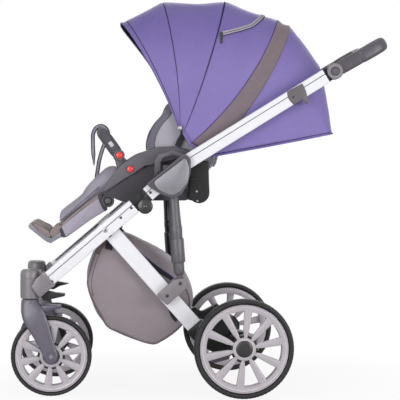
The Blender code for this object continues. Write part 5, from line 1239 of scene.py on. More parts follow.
def oriented_out(obj, middle):
    """Turns the faces of an open cloth so that they look away from a middle point."""
    mesh = obj.data
    bm = bmesh.new()
    bm.from_mesh(mesh)
    bmesh.ops.recalc_face_normals(bm, faces=bm.faces)
    total = sum(face.normal.dot(face.calc_center_median() - Vector(middle)) * face.calc_area()
                for face in bm.faces)
    if total < 0:
        bmesh.ops.reverse_faces(bm, faces=bm.faces)
    bm.to_mesh(mesh)
    bm.free()
    mesh.shade_smooth()


def cord_along(points, radius, tone=0, across=(0, 1, 0.3), squash=1.0):
    """Piping along a line of cloth: an oval section carried along it."""
    return sweep(points, oval(radius, radius * squash, 8), across, tone=tone)


def inset_line(points, normal, column, reach):
    """The line on a cloth that keeps a distance from one of its side hems."""
    order = 1 if column == 0 else -1
    points = points[:, ::order]
    normal = normal[:, ::order]
    step = np.linalg.norm(np.diff(points, axis=1), axis=2)
    far = np.concatenate([np.zeros((len(points), 1)), np.cumsum(step, axis=1)], 1)
    index = (far < reach).sum(1) - 1
    rows = np.arange(len(points))
    share = ((reach - far[rows, index]) / step[rows, index])[:, None]
    spot = points[rows, index] * (1 - share) + points[rows, index + 1] * share
    return spot + normal[rows, index] * 0.0008


def lattice_at(grid, rows, columns):
    """Values of a lattice between its points, by the shares of the four round each place."""
    i = np.clip(rows.astype(int), 0, grid.shape[0] - 2)
    j = np.clip(columns.astype(int), 0, grid.shape[1] - 2)
    s = (rows - i)[:, None]
    t = (columns - j)[:, None]
    return ((1 - s) * (1 - t) * grid[i, j] + s * (1 - t) * grid[i + 1, j]
            + (1 - s) * t * grid[i, j + 1] + s * t * grid[i + 1, j + 1])


def vent_zip(points, normal, shares):
    """Ribbed tape with a light cord on one side and a dark seam on the other, and two pullers."""
    route = through(ZIP_LINE, 150)
    rows = np.interp(route[:, 0], shares, np.arange(len(shares)))
    columns = np.interp(route[:, 1], even_columns(points.shape[1]), np.arange(points.shape[1]))
    path = lattice_at(points, rows, columns)
    up = lattice_at(normal, rows, columns)
    up /= np.linalg.norm(up, axis=1, keepdims=True)
    run = np.gradient(path, axis=0)
    run /= np.linalg.norm(run, axis=1, keepdims=True)
    aside = np.cross(run, up)
    aside *= np.sign(aside[len(aside) // 4] @ [-1, 0, 1])
    pieces = [sweep(path + 0.0012 * up, oval(0.0014, 0.005, 12, 4.0), up),
              sweep(path + 0.0024 * up, oval(0.0008, 0.0011, 8, 3.0), up, tone=1),
              sweep(path + 0.0014 * up + 0.0058 * aside, oval(0.0016, 0.0013, 8), up, tone=2),
              sweep(path + 0.0008 * up - 0.0058 * aside, oval(0.0012, 0.0012, 8), up, tone=3)]
    hood_trim("canopy_vent_zip", pieces, [ZIP_TAPE, DARK_BINDING, GREY_WEB, SEAM_THREAD])
    for name, row in (("left", 0), ("right", -1)):
        spot = path[row] + up[row] * 0.004
        outer = np.sign(spot[1])
        body = plate(rounded([
            (-0.0052, -0.006), (0.0052, -0.006), (0.004, 0.006), (-0.004, 0.006)], 0.002, 3),
            -0.003, 0.003, 1, 0.0012)
        tab = plate(rounded([
            (-0.0034, -0.029), (0.0034, -0.029), (0.0042, -0.01), (0.0026, -0.0045),
            (-0.0026, -0.0045), (-0.0042, -0.01)], 0.0022, 3), 0.0018, 0.0042, 1, 0.0008)
        for piece in (body, tab):
            piece["points"] = spot + piece["points"] * [1, outer, 1]
        make("canopy_zip_puller_" + name, [body, tab], [CAP_BLACK], "backrest", "hood_purple",
             crease=35)


def hood_trim(name, pieces, finishes, body="backrest"):
    """Sewn-on trims that ride with one of the hood's panels."""
    make(name, pieces, finishes, body, "hood_purple", crease=0)


def hood():
    """Three panels from the front bow to the rear hem, with their seams, piping and studs."""
    near_seam = [0.004, 0.012, 0.02, 0.03, 0.045]
    first = np.unique(np.concatenate([[0, 0.02, 0.05, 0.08, 0.105, 0.125, 0.145, 0.17],
                                      np.linspace(0.2, 0.9, 16), [0.93, 0.96, 0.98, 0.988]]))
    points, normal = hood_panel("canopy_front", ["front", "second"], first, "hood_front",
                                [0.105, 1.0], 3, 0.0012, [0.0])
    hood_trim("canopy_front_hem", [cord_along(points[0] + normal[0] * -0.0008, 0.0019)],
              [HOOD_TRIM], "hood_front")
    row = int(np.argmin(np.abs(first - 0.105)))
    seam = points[row, 3:-3] - normal[row, 3:-3] * 0.0004
    hood_trim("canopy_front_seam", [cord_along(seam, 0.0014)], [SEAM_THREAD], "hood_front")
    inner = points[1] - normal[1] * 0.0034
    hood_trim("canopy_front_tape", [cord_along(inner, 0.0022, squash=0.5)], [LINING], "hood_front")

    second = np.unique(np.concatenate([near_seam, np.linspace(0.08, 0.92, 22),
                                       [0.955, 0.975, 0.988]]))
    points, normal = hood_panel("canopy_middle", ["second", "third"], second, "hood_middle",
                                [0.0, 1.0], 5, 0.005)
    hood_trim("canopy_seam_front", [cord_along(points[0] - normal[0] * 0.0006, 0.0015)],
              [SEAM_THREAD], "hood_middle")

    rear = np.unique(np.concatenate([
        near_seam, np.linspace(0.08, 0.92, 26), [0.955, 0.975, 0.99, 1.0, 1.012, 1.06, 1.15,
        1.3, 1.5, 1.7, 1.85, 1.94, 1.988, 2.0, 2.008, 2.02, 2.04], np.linspace(2.08, 2.95, 26),
        [2.97, 3.0, 3.03], np.linspace(3.08, 4.0, 18), np.linspace(4.05, 4.96, 22),
        [4.98, 5.0]]))
    names = ["third", "band_front", "band_rear", "hood_high", "hood_low", "hood_hem"]
    points, normal = hood_panel("canopy_rear", names, rear, "backrest", [0.0, 1.0, 2.0], 9,
                                0.005, band=(1.012, 1.988), flap=ZIP_LINE)
    vent_zip(points, normal, rear)
    hood_trim("canopy_seam_third", [cord_along(points[0] - normal[0] * 0.0006, 0.0015)],
              [SEAM_THREAD])
    row = int(np.argmin(np.abs(rear - 1.0)))
    hood_trim("canopy_band_seam", [cord_along(points[row] - normal[row] * 0.0002, 0.0016)],
              [SEAM_THREAD])
    pieces = []
    for column in (0, -1):
        pieces.append(cord_along(points[row:, column] + [0, 0, -0.0006], 0.0022))
        pieces.append(cord_along(inset_line(points[row:], normal[row:], column, 0.0075), 0.001, 1))
    pieces.append(cord_along(points[-1] + [0.0006, 0, -0.0006], 0.0022))
    hood_trim("canopy_hem_piping", pieces, [HOOD_TRIM, SEAM_THREAD])
    hood_trim("canopy_binding", [cord_along(points[: row + 8, column], 0.0034, 0, (1, 0, 0.4), 0.6)
                                 for column in (0, -1)], [HOOD_CLOTH])
    for name, side in SIDES.items():
        stud = turned([
            (AXIS, 0.19), (0.0022, 0.1898), (0.003, 0.1892), (0.0036, 0.1892), (0.005, 0.1896),
            (0.0062, 0.1888), (0.0066, 0.186), (AXIS, 0.186)], (-0.06, 0.784), side, 40)
        make("canopy_snap_" + name, [stud], [STEEL], "backrest", "hood_purple", crease=35)


# Padded pieces

PAD_CELL = 0.005
PAD_PRESSURE = 4.0
PUFF_STEPS = 20


def as_modified(obj):
    """A new mesh as the object's modifiers leave it, and its points."""
    graph = bpy.context.evaluated_depsgraph_get()
    mesh = bpy.data.meshes.new_from_object(obj.evaluated_get(graph))
    flat = np.empty(len(mesh.vertices) * 3, np.float32)
    mesh.vertices.foreach_get("co", flat)
    return mesh, flat.reshape(-1, 3).astype(float)


def puffed_pad(name, faces, body, node, cap, shape):
    """A closed shape puffed up by cloth simulation, then sewn lines are pressed into it.

    Each point keeps the direction of its move m, whose size becomes cap tanh(|m| / cap).
    """
    obj = make(name, faces, [SEAT_KNIT], body, "seat_lavender", [node], crease=0)
    rough = obj.data
    bpy.context.view_layer.objects.active = obj
    remesh = obj.modifiers.new("even_cells", "REMESH")
    remesh.mode = "VOXEL"
    remesh.voxel_size = PAD_CELL
    cloth = obj.modifiers.new("puff", "CLOTH")
    settings = cloth.settings
    settings.quality = 5
    settings.mass = 0.15
    settings.tension_stiffness = settings.compression_stiffness = 12
    settings.bending_stiffness = 0.4
    settings.use_pressure = True
    settings.uniform_pressure_force = PAD_PRESSURE
    settings.effector_weights.gravity = 0
    cloth.point_cache.frame_start = 1
    cloth.point_cache.frame_end = PUFF_STEPS
    for step in range(1, PUFF_STEPS + 1):
        bpy.context.scene.frame_set(step)
    mesh, points = as_modified(obj)
    obj.modifiers["puff"].show_viewport = False
    bpy.context.scene.frame_set(1)
    still, before = as_modified(obj)
    if len(before) == len(points):
        move = points - before
        size = np.linalg.norm(move, axis=1, keepdims=True) + 1e-9
        points = before + move * (cap * np.tanh(size / cap) / size)
    bpy.data.meshes.remove(still)
    obj.modifiers.clear()
    obj.data = mesh
    bpy.data.meshes.remove(rough)
    mesh.vertices.foreach_set("co", shape(points).astype(np.float32).ravel())
    mesh.update()
    mesh.shade_smooth()
    finer = obj.modifiers.new("finer", "SUBSURF")
    finer.levels = finer.render_levels = 1
    return obj


def pad_block(length, width, thick, start, slope):
    """A pillow form as two crowned faces: height falls as (1 - u^4)(1 - v^4) to the power 0.5.

    Its four sides draw in between the corners by pull of the half size.
    """
    pull = 0.03
    u = np.linspace(-1, 1, 16)[:, None]
    v = np.linspace(-1, 1, 16)[None, :]
    edge = np.sqrt(np.clip((1 - u ** 4) * (1 - v ** 4), 0, 1))
    low = 0.5 * thick * (1 - edge)
    high = 0.5 * thick + 0.5 * thick * edge
    far = (u * (1 - pull * (1 - v ** 2)) + 1) / 2 * length
    wide = v * (1 - pull * (1 - u ** 2)) * width / 2
    c, s = math.cos(slope), math.sin(slope)

    def face(height):
        x = start[0] + far * c - height * s
        z = start[1] + far * s + height * c
        return np.stack([x, np.broadcast_to(wide, x.shape), z], -1)

    return [part(face(np.maximum(low, 0.0))), part(face(high))]


def channels(start, slope, length, lines, depth, width=0.006, cross=()):
    """Presses sewn lines into a pad's upper side, at shares of its length and at depths Y."""
    c, s = math.cos(slope), math.sin(slope)

    def shape(points):
        offset = points[:, [0, 2]] - np.asarray(start)
        far = offset @ [c, s]
        rise = offset @ [-s, c]
        upper = np.clip(rise / (np.percentile(rise, 97) + 1e-6), 0, 1) ** 2
        press = np.zeros(len(points))
        for gap in ([far - share * length for share in lines]
                    + [np.abs(points[:, 1]) - y for y in cross]):
            press += bump(gap, width) + 0.35 * bump(gap, 4 * width)
        move = depth * np.minimum(press, 1.35) * upper
        out = points.copy()
        out[:, 0] += move * s
        out[:, 2] -= move * c
        return out

    return shape


BACK_FOOT = (0.024, 0.698)
BACK_HEAD = (0.385, 0.782)
BACK_SLOPE = math.atan2(BACK_HEAD[1] - BACK_FOOT[1], BACK_HEAD[0] - BACK_FOOT[0])
CALF_TOP = [
    (-0.232, 0.64), (-0.236, 0.67), (-0.25, 0.6765), (-0.267, 0.668), (-0.297, 0.642),
    (-0.327, 0.612), (-0.35, 0.581), (-0.38, 0.556), (-0.405, 0.537), (-0.4155, 0.526),
    (-0.4175, 0.514)]
CALF_UNDER = [
    (-0.232, 0.64), (-0.246, 0.608), (-0.27, 0.594), (-0.297, 0.58), (-0.33, 0.556),
    (-0.36, 0.534), (-0.39, 0.511), (-0.41, 0.498), (-0.4175, 0.512)]


def calf_pad():
    """One long pad from the seat's front edge over the leg rest, between two side curves.

    Its thickness falls to both sides as the square root of 1 - v^8. Two channels run along
    it and one across, and a sewn line follows each side.
    """
    top = through(CALF_TOP, 40)
    under = through(CALF_UNDER, 40)
    middle = (top + under) / 2
    half = (top - under) / 2
    v = np.linspace(-1, 1, 25)
    edge = np.sqrt(np.clip(1 - v ** 8, 0, 1))
    faces = []
    for sign in (1, -1):
        spot = middle[:, None] + sign * edge[None, :, None] * half[:, None]
        wide = np.broadcast_to(v * 0.1385, spot.shape[:2])
        faces.append(part(np.stack([spot[..., 0], wide, spot[..., 1]], -1)))
    sewn = channels((-0.4175, 0.514), math.atan2(0.15, 0.172), 0.24, [0.42], 0.004, 0.005,
                    cross=[0.048, 0.096])
    obj = puffed_pad("calf_pad_cover", faces, None, "leg_pad", 0.005, sewn)
    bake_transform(obj)
    line = through([
        (-0.414, 0.509), (-0.39, 0.529), (-0.36, 0.556), (-0.33, 0.582), (-0.297, 0.611)], 30)
    seams = [bead(line, side * 0.1392, (0.0009, 0.001, 8)) for side in SIDES.values()]
    make("calf_pad_seam", seams, [DARK_BINDING], "leg_rest", "seat_lavender", crease=0)


def pads():
    """The seat cushion, the calf pad and the back cushion."""
    start = (-0.246, 0.5955)
    puffed_pad("seat_cushion_pad", pad_block(0.222, 0.256, 0.056, start, 0.0), "seat_unit",
               "seat_cushion", 0.008,
               channels(start, 0.0, 0.222, [0.36, 0.7], 0.007, cross=[0.085]))
    calf_pad()
    start = along(BACK_FOOT, BACK_SLOPE, -0.014, 0.009)
    puffed_pad("back_cushion_pad", pad_block(0.38, 0.25, 0.026, start, BACK_SLOPE), "backrest",
               "back_cushion", 0.006,
               channels(start, BACK_SLOPE, 0.38, [0.25, 0.5, 0.75], 0.006, cross=[0.075]))


# Seat unit

ARMREST = [
    (-0.2905, 0.5925), (-0.267, 0.6345), (-0.2305, 0.6795), (-0.1845, 0.7095), (-0.124, 0.7285),
    (-0.079, 0.7305), (-0.034, 0.721), (-0.016, 0.706), (-0.022, 0.7015), (-0.08, 0.704),
    (-0.132, 0.691), (-0.172, 0.674), (-0.19, 0.649), (-0.211, 0.64), (-0.23, 0.633),
    (-0.245, 0.616), (-0.27, 0.6)]
PANEL = [
    (-0.29, 0.593), (-0.266, 0.634), (-0.23, 0.678), (-0.184, 0.708), (-0.124, 0.727),
    (-0.079, 0.729), (-0.04, 0.721), (-0.042, 0.617), (-0.029, 0.576), (-0.04, 0.57),
    (-0.17, 0.57), (-0.1912, 0.5594), (-0.206, 0.5618), (-0.2296, 0.5672), (-0.2502, 0.5755),
    (-0.2708, 0.5859)]
BAR_PIVOT = (-0.238, 0.704)
BAR_TOP = (-0.287, 0.772)
ARMREST_BUTTON = (-0.206, 0.663)
LEG_REST_PIVOT = (-0.271, 0.569)


def seat_unit():
    """Side panels, armrests, hinge discs, seat pan and the red buttons in their rings."""
    pieces = []
    for side in SIDES.values():
        inner = plate(rounded(PANEL, 0.012, 4), 0.1485, 0.153, side, 0.0014, tone=1)
        arm = plate(rounded(ARMREST, 0.01, 4), 0.149, 0.1625, side, 0.0045, 5, 0.0034, 0, 6)
        disc = knob([
            (0.0105, 0.156), (0.0118, 0.1545), (0.0138, 0.1545), (0.015, 0.1575), (0.0164, 0.1578),
            (0.018, 0.1566), (0.0188, 0.152), (0.0188, 0.144)], LEG_REST_PIVOT, side, 48, [2, 2, 2,
            0, 0, 0, 0, 0, 0, 0])
        lug = plate(rounded([
            (-0.112, 0.632), (-0.078, 0.632), (-0.078, 0.676), (-0.112, 0.676)], 0.006, 4), 0.15,
            0.1898, side, 0.002)
        ear = plate(rounded([
            (-0.06, 0.578), (-0.007, 0.5745), (0.0145, 0.59), (0.01, 0.612), (-0.01, 0.6165),
            (-0.06, 0.625)], 0.008, 4), 0.149, 0.1526, side, 0.001)
        tongue = plate(rounded([
            (-0.251, 0.7), (-0.249, 0.712), (-0.238, 0.716), (-0.227, 0.712), (-0.225, 0.7),
            (-0.205, 0.68), (-0.24, 0.655)], 0.006, 3), 0.1464, 0.1536, side, 0.001)
        pieces += [inner, arm, disc, lug, ear, tongue]
    pan = np.array([(-0.262, 0.588), (-0.035, 0.588), (-0.035, 0.594), (-0.262, 0.594)])
    pieces.append(plate(rounded(pan, 0.002, 2), -0.1485, 0.1485, 1, 0.001))
    make("seat_frame_shell", pieces, [DARK_PLASTIC, SIDE_CLOTH, CAP_BLACK], "seat_unit",
         "seat_grey", ["seat_frame"], crease=38)
    for name, side in SIDES.items():
        for centre, label in ((BAR_PIVOT, "bar"), (ARMREST_BUTTON, "armrest")):
            face = 0.1665 if label == "bar" else 0.166
            dome = turned([
                (AXIS, face + 0.0024), (0.004, face + 0.0022), (0.0072, face + 0.0015),
                (0.0092, face + 0.0004), (0.0098, face - 0.001), (0.0098, face - 0.0028),
                (AXIS, face - 0.0028)], centre, side, 40)
            make(f"{label}_button_skin_{name}", [dome], [RED_PLASTIC],
                 f"{label}_button_{name}", "red_button", [f"{label}_button_{name}"])
            lip = turned([
                (0.0101, face - 0.0006), (0.0106, face + 0.0004), (0.0116, face + 0.0004),
                (0.0122, face - 0.0006), (0.0122, face - 0.0016), (0.0101, face - 0.0016)], centre,
                side, 40)
            make(f"{label}_button_ring_{name}", [lip], [DARK_PLASTIC],
                 "bumper_bar" if label == "bar" else "seat_unit", "dark_plastic")


def bumper_bar():
    """Grained sleeve round a bent bar, one loop through both arms in the plane of the bar."""
    base = np.array([BAR_PIVOT[0], 0, BAR_PIVOT[1]])
    lift = np.array([BAR_TOP[0] - BAR_PIVOT[0], 0, BAR_TOP[1] - BAR_PIVOT[1]])
    reach = np.linalg.norm(lift)
    heading = lift / reach
    y_side = np.array([0, 1.0, 0])
    corner = 0.045
    turn = np.linspace(0, np.pi / 2, 14)
    out = 0.1505 - corner * (1 - np.cos(turn))
    up = reach - corner + corner * np.sin(turn)
    run = np.concatenate([[[0.1505, 0.008], [0.1505, 0.018], [0.1505, 0.028]],
                          np.stack([out, up], 1)])
    across = np.linspace(0.09, -0.09, 15)
    path = np.concatenate([run, np.stack([across, np.full(15, reach)], 1), (run * [-1, 1])[::-1]])
    path = base + path[:, 1:] * heading + path[:, :1] * y_side
    square = np.cross(heading, y_side)
    size = np.full(len(path), 0.0168)
    size[[0, -1]] = 0.015
    sleeve = sweep(path, oval(1, 1, 32, 2.3), square, size=size)
    ends = []
    for side in SIDES.values():
        ends.append(knob([
            (0.015, 0.1546), (0.0163, 0.1556), (0.0165, 0.164), (0.0152, 0.1664), (0.0112, 0.1668),
            (0.011, 0.1655)], BAR_PIVOT, side, 48, 1))
    make("bumper_bar_sleeve", [sleeve, *ends], [BAR_GRAIN, DARK_PLASTIC], "bumper_bar",
         "dark_plastic", ["bumper_bar"], crease=38)
    # Pale patch low on each arm
    for name, side in SIDES.items():
        spot = base + heading * 0.04 + y_side * side * 0.1505
        patch = plate(rounded([
            (-0.006, -0.008), (0.006, -0.008), (0.006, 0.008), (-0.006, 0.008)], 0.003, 4), 0.0,
            0.0012, 1, 0.0005)
        local = patch["points"]
        patch["points"] = (spot + y_side * side * (0.016 + local[..., 1:2])
                           + heading * local[..., 2:3] - square * local[..., 0:1])
        make("bumper_patch_" + name, [patch], [PALE_PLASTIC], "bumper_bar", "dark_plastic")


def crotch_strap():
    """Padded straps from the bumper bar's middle to the seat edge, bound in black."""
    front = through([
        (-0.269, 0.772), (-0.2765, 0.787), (-0.29, 0.7945), (-0.305, 0.79), (-0.3145, 0.775),
        (-0.3165, 0.745), (-0.315, 0.705), (-0.313, 0.674)], 46)
    rear = through([
        (-0.27, 0.764), (-0.279, 0.745), (-0.288, 0.722), (-0.297, 0.69), (-0.302, 0.66),
        (-0.305, 0.636), (-0.296, 0.608)], 40)
    pieces = []
    for route, narrow in ((front, True), (rear, False)):
        path = at_depth(route, 0.0)
        run = np.gradient(path, axis=0)
        run /= np.linalg.norm(run, axis=1, keepdims=True)
        over = np.cross(run, ACROSS)
        size = np.ones(len(path))
        if narrow:
            size[-10:] = np.linspace(1, 0.25, 10)
        for shift, thick, wide, tone in ((0.0, 0.0048, 0.0185, 0), (0.005, 0.0012, 0.02, 1),
                                         (-0.005, 0.0012, 0.02, 1)):
            flat = oval(wide, thick, 20, 4.0)
            pieces.append(sweep(path + shift * size[:, None] * over, flat, ACROSS,
                                tone=tone, size=size))
    straps = make("crotch_strap", pieces, [SEAT_CLOTH, BLACK_WEB], None, "seat_lavender")
    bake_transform(straps)


def leg_rest():
    """Board with cloth sides, a beige strip under the pad and the bent foot frame."""
    board_outline = rounded([
        (-0.272, 0.576), (-0.296, 0.588), (-0.406, 0.499), (-0.406, 0.48), (-0.399, 0.464),
        (-0.305, 0.527), (-0.272, 0.548)], 0.006, 4)
    pieces = [plate(board_outline, -0.14, 0.14, 1, 0.004, 4)]
    cloth_side = rounded([
        (-0.4077, 0.4928), (-0.3829, 0.5134), (-0.3534, 0.5376), (-0.3239, 0.5582),
        (-0.2991, 0.5765), (-0.29, 0.5575), (-0.2827, 0.5383), (-0.3063, 0.5245), (-0.3358, 0.505),
        (-0.3653, 0.4832), (-0.396, 0.4618), (-0.4025, 0.4744)], 0.002, 3)
    beige = rounded([
        (-0.4075, 0.503), (-0.38, 0.5264), (-0.3534, 0.5476), (-0.3239, 0.5712), (-0.2985, 0.5907),
        (-0.293, 0.5759), (-0.324, 0.554), (-0.3535, 0.5334), (-0.383, 0.5092), (-0.408, 0.4886)],
        0.002, 3)
    edge_line = through([
        (-0.283, 0.5383), (-0.3063, 0.5245), (-0.3358, 0.505), (-0.3653, 0.4832),
        (-0.3955, 0.462)], 36)
    strap = rounded([
        (-0.4136, 0.4834), (-0.4112, 0.4899), (-0.4047, 0.4857), (-0.3954, 0.4638),
        (-0.4007, 0.46), (-0.4089, 0.464)], 0.0015, 3)
    cuff = rounded([
        (-0.3015, 0.586), (-0.2909, 0.5943), (-0.2873, 0.5836), (-0.2812, 0.5644),
        (-0.2715, 0.5439), (-0.2809, 0.5369), (-0.2903, 0.5526), (-0.298, 0.5703)], 0.002, 3)
    sides = []
    for side in SIDES.values():
        sides.append(plate(cloth_side, 0.1395, 0.1438, side, 0.0016, 4, tone=1))
        sides.append(plate(beige, 0.138, 0.1424, side, 0.0016, 4, tone=2))
        sides.append(bead(edge_line, side * 0.1418, (0.0014, 0.0012, 10), 3))
        sides.append(plate(strap, 0.138, 0.1452, side, 0.0014, 3, tone=3))
        sides.append(plate(cuff, 0.138, 0.1448, side, 0.0014, 3, tone=3))
        sides.append(knob([
            (0.006, 0.164), (0.0082, 0.1628), (0.009, 0.1606), (0.0092, 0.158), (0.006, 0.157),
            (0.006, 0.14)], LEG_REST_PIVOT, side, 40, 4))
    frame_outline = rounded([
        (-0.401, 0.464), (-0.4139, 0.46), (-0.4401, 0.4439), (-0.4536, 0.4495), (-0.5045, 0.49),
        (-0.5056, 0.4949), (-0.4997, 0.5058), (-0.4955, 0.5043), (-0.493, 0.4965),
        (-0.4541, 0.4655), (-0.4389, 0.459), (-0.4139, 0.4757), (-0.405, 0.48)], 0.003, 4)
    pieces.append(plate(frame_outline, -0.144, 0.144, 1, 0.0016, 4, tone=5))
    cover = rounded([
        (-0.4935, 0.5066), (-0.4885, 0.506), (-0.4688, 0.4955), (-0.4455, 0.481),
        (-0.4412, 0.4715), (-0.44, 0.463), (-0.4439, 0.4576), (-0.4542, 0.462), (-0.4965, 0.496)],
        0.003, 4)
    pieces.append(plate(cover, -0.137, 0.137, 1, 0.0022, 4, tone=2))
    far_edge = through([
        (-0.493, 0.5062), (-0.486, 0.5043), (-0.4688, 0.4955), (-0.4455, 0.481),
        (-0.4412, 0.4725)], 24)
    for y in (-0.1352, 0.1352):
        pieces.append(bead(far_edge + [-0.0004, -0.0006], y, (0.0014, 0.0014, 8), 6))
    roll = rounded([
        (-0.443, 0.4739), (-0.4406, 0.4828), (-0.4335, 0.4905), (-0.4202, 0.4965),
        (-0.4084, 0.4975), (-0.404, 0.4915), (-0.4114, 0.4753), (-0.4247, 0.4665),
        (-0.438, 0.4612)], 0.004, 4)
    pieces.append(plate(roll, -0.14, 0.14, 1, 0.0026, 4, tone=2))
    make("leg_rest_shell", pieces + sides,
         [SEAT_DARK, LEG_CLOTH, BEIGE_CLOTH, DARK_BINDING, DARK_PLASTIC, DARK_PLASTIC_LIGHT,
          CAP_BLACK], "leg_rest", "seat_grey", ["leg_rest"], crease=38)


def backrest():
    """Back board, padded wings with a pale panel in a darker frame and the black brackets."""
    board = rounded([BACK_FOOT, BACK_HEAD, along(BACK_HEAD, BACK_SLOPE, 0.0, 0.008),
                     along(BACK_FOOT, BACK_SLOPE, 0.0, 0.008)], 0.003, 3)
    pieces = [plate(board, -0.137, 0.137, 1, 0.002)]
    wing = rounded([
        (-0.03, 0.61), (0.01, 0.65), BACK_FOOT, BACK_HEAD, (0.36, 0.89), (0.15, 0.91),
        (0.02, 0.91), (-0.088, 0.856), (-0.124, 0.8), (-0.144, 0.762), (-0.15, 0.72),
        (-0.09, 0.65)], 0.028, 6)
    bracket = np.concatenate([[(-0.029, 0.688), (-0.031, 0.62)],
                              circle((-0.002, 0.593), 0.031, 36)[18:36],
                              [(0.029, 0.593), (0.0275, 0.63), (0.026, 0.686)]])
    bracket = rounded(bracket, 0.006, 3)
    for side in SIDES.values():
        pieces.append(plate(wing, 0.1345, 0.145, side, 0.0045, 5, 0.0, 0))
        pieces.append(plate(bracket, 0.1535, 0.1645, side, 0.0022, 4, tone=2))
        seam = np.linspace((-0.03, 0.6322), (0.0272, 0.6322), 6)
        pieces.append(sweep(at_depth(seam, side * 0.1645), oval(0.0008, 0.0008, 6), (0, 0, 1),
                            tone=3))
        tie = rounded([(0.01, 0.652), (0.0262, 0.664), (0.0262, 0.684), (0.016, 0.678)], 0.003, 3)
        pieces.append(plate(tie, 0.144, 0.158, side, 0.001, tone=2))
        pieces.append(knob([(0.006, 0.158), (0.006, 0.14)], (-0.007, 0.595), side, 32, 2))
    make("backrest_panels", pieces, [WING_CLOTH, SEAT_DARK, BLACK_PLASTIC, CAP_BLACK],
         "backrest", "seat_grey", ["backrest_shell"], crease=38)
    for name, side in SIDES.items():
        rivets("bracket_rivets_" + name, [(-0.009, 0.597), (-0.007, 0.569)], 0.1645, side,
               "backrest", "black_plastic", STEEL, 0.0036)
        frame_line = through([
            (-0.06, 0.68), (-0.118, 0.7), (-0.144, 0.72), (-0.143, 0.762), (-0.124, 0.799),
            (-0.098, 0.83), (-0.086, 0.856), (-0.05, 0.885)], 60)
        roll = bead(frame_line + [0.0062, 0], side * 0.1428, (0.0052, 0.0104, 20, 2.4))
        obj = make("wing_roll_" + name, [roll], [SEAT_DARK], "backrest", "seat_grey", crease=0)
        strap = bead([
            (-0.066, 0.73), (-0.06, 0.745), (-0.05, 0.762), (-0.046, 0.79)], side * 0.156,
            (0.0012, 0.0085, 12, 4))
        make("wing_strap_" + name, [strap], [BLACK_WEB], "backrest", "seat_grey")
        frill(name, side)


def frill(name, side):
    """Gathered cloth below the hood's rear hem: a strip whose width waves as it hangs."""
    t = np.linspace(0, 1, 70)[:, None]
    drop = np.linspace(0, 1, 18)[None, :]
    x = 0.018 + 0.038 * t * (1 - 0.25 * drop) + 0.003 * drop * np.sin(9 * t)
    z = 0.702 + 0.006 * t - 0.044 * drop * (1 - 0.35 * t * t) + 0.002 * np.sin(30 * t) * drop
    y = side * (0.152 + 0.005 * np.sin(44 * t + 3 * drop) * (0.3 + 0.7 * drop)) + 0 * x
    points = np.stack([x + 0 * y, y, z + 0 * y], -1)
    strip = make("hood_gather_" + name, [part(points)], [SEAT_CLOTH], "backrest",
                 "seat_lavender", crease=0, outward=False, thick=0.0012, offset=0.0)
    area = cloth_area(points)


BASKET = [
    (-0.245, 0.468), (-0.302, 0.43), (-0.329, 0.37), (-0.334, 0.32), (-0.322, 0.27),
    (-0.27, 0.188), (-0.21, 0.159), (-0.14, 0.144), (-0.095, 0.157), (-0.05, 0.195),
    (-0.018, 0.255), (-0.023, 0.32), (-0.056, 0.374), (-0.1, 0.408), (-0.155, 0.44)]
# The same bag at its two side walls, whose top edges run down behind the rear legs
BASKET_SIDE = [
    (-0.245, 0.464), (-0.2988, 0.4349), (-0.318, 0.3886), (-0.3263, 0.3591), (-0.3325, 0.3251),
    (-0.3284, 0.307), (-0.312, 0.265), (-0.288, 0.222), (-0.279, 0.203), (-0.264, 0.19),
    (-0.238, 0.1795), (-0.1917, 0.1595), (-0.1579, 0.1475), (-0.1324, 0.144), (-0.113, 0.153),
    (-0.0816, 0.1729), (-0.0519, 0.2003), (-0.03, 0.25), (-0.035, 0.295), (-0.0729, 0.3384),
    (-0.1174, 0.3701), (-0.1766, 0.417), (-0.215, 0.448)]


def basket_straps():
    """Black tabs that hang the bag from the legs in front and from the strut brackets behind."""
    pieces = []
    for side in SIDES.values():
        front = through([
            (-0.23, 0.488), (-0.242, 0.478), (-0.256, 0.46), (-0.266, 0.44), (-0.27, 0.426)], 20)
        rear = through([(-0.085, 0.256), (-0.08, 0.236), (-0.072, 0.222), (-0.066, 0.218)], 14)
        for route, wide in ((front, 0.011), (rear, 0.009)):
            pieces.append(bead(route, side * 0.159, (0.0012, wide, 14, 4.0)))
    make("basket_straps", pieces, [BLACK_WEB], "rear_legs", "basket_grey")


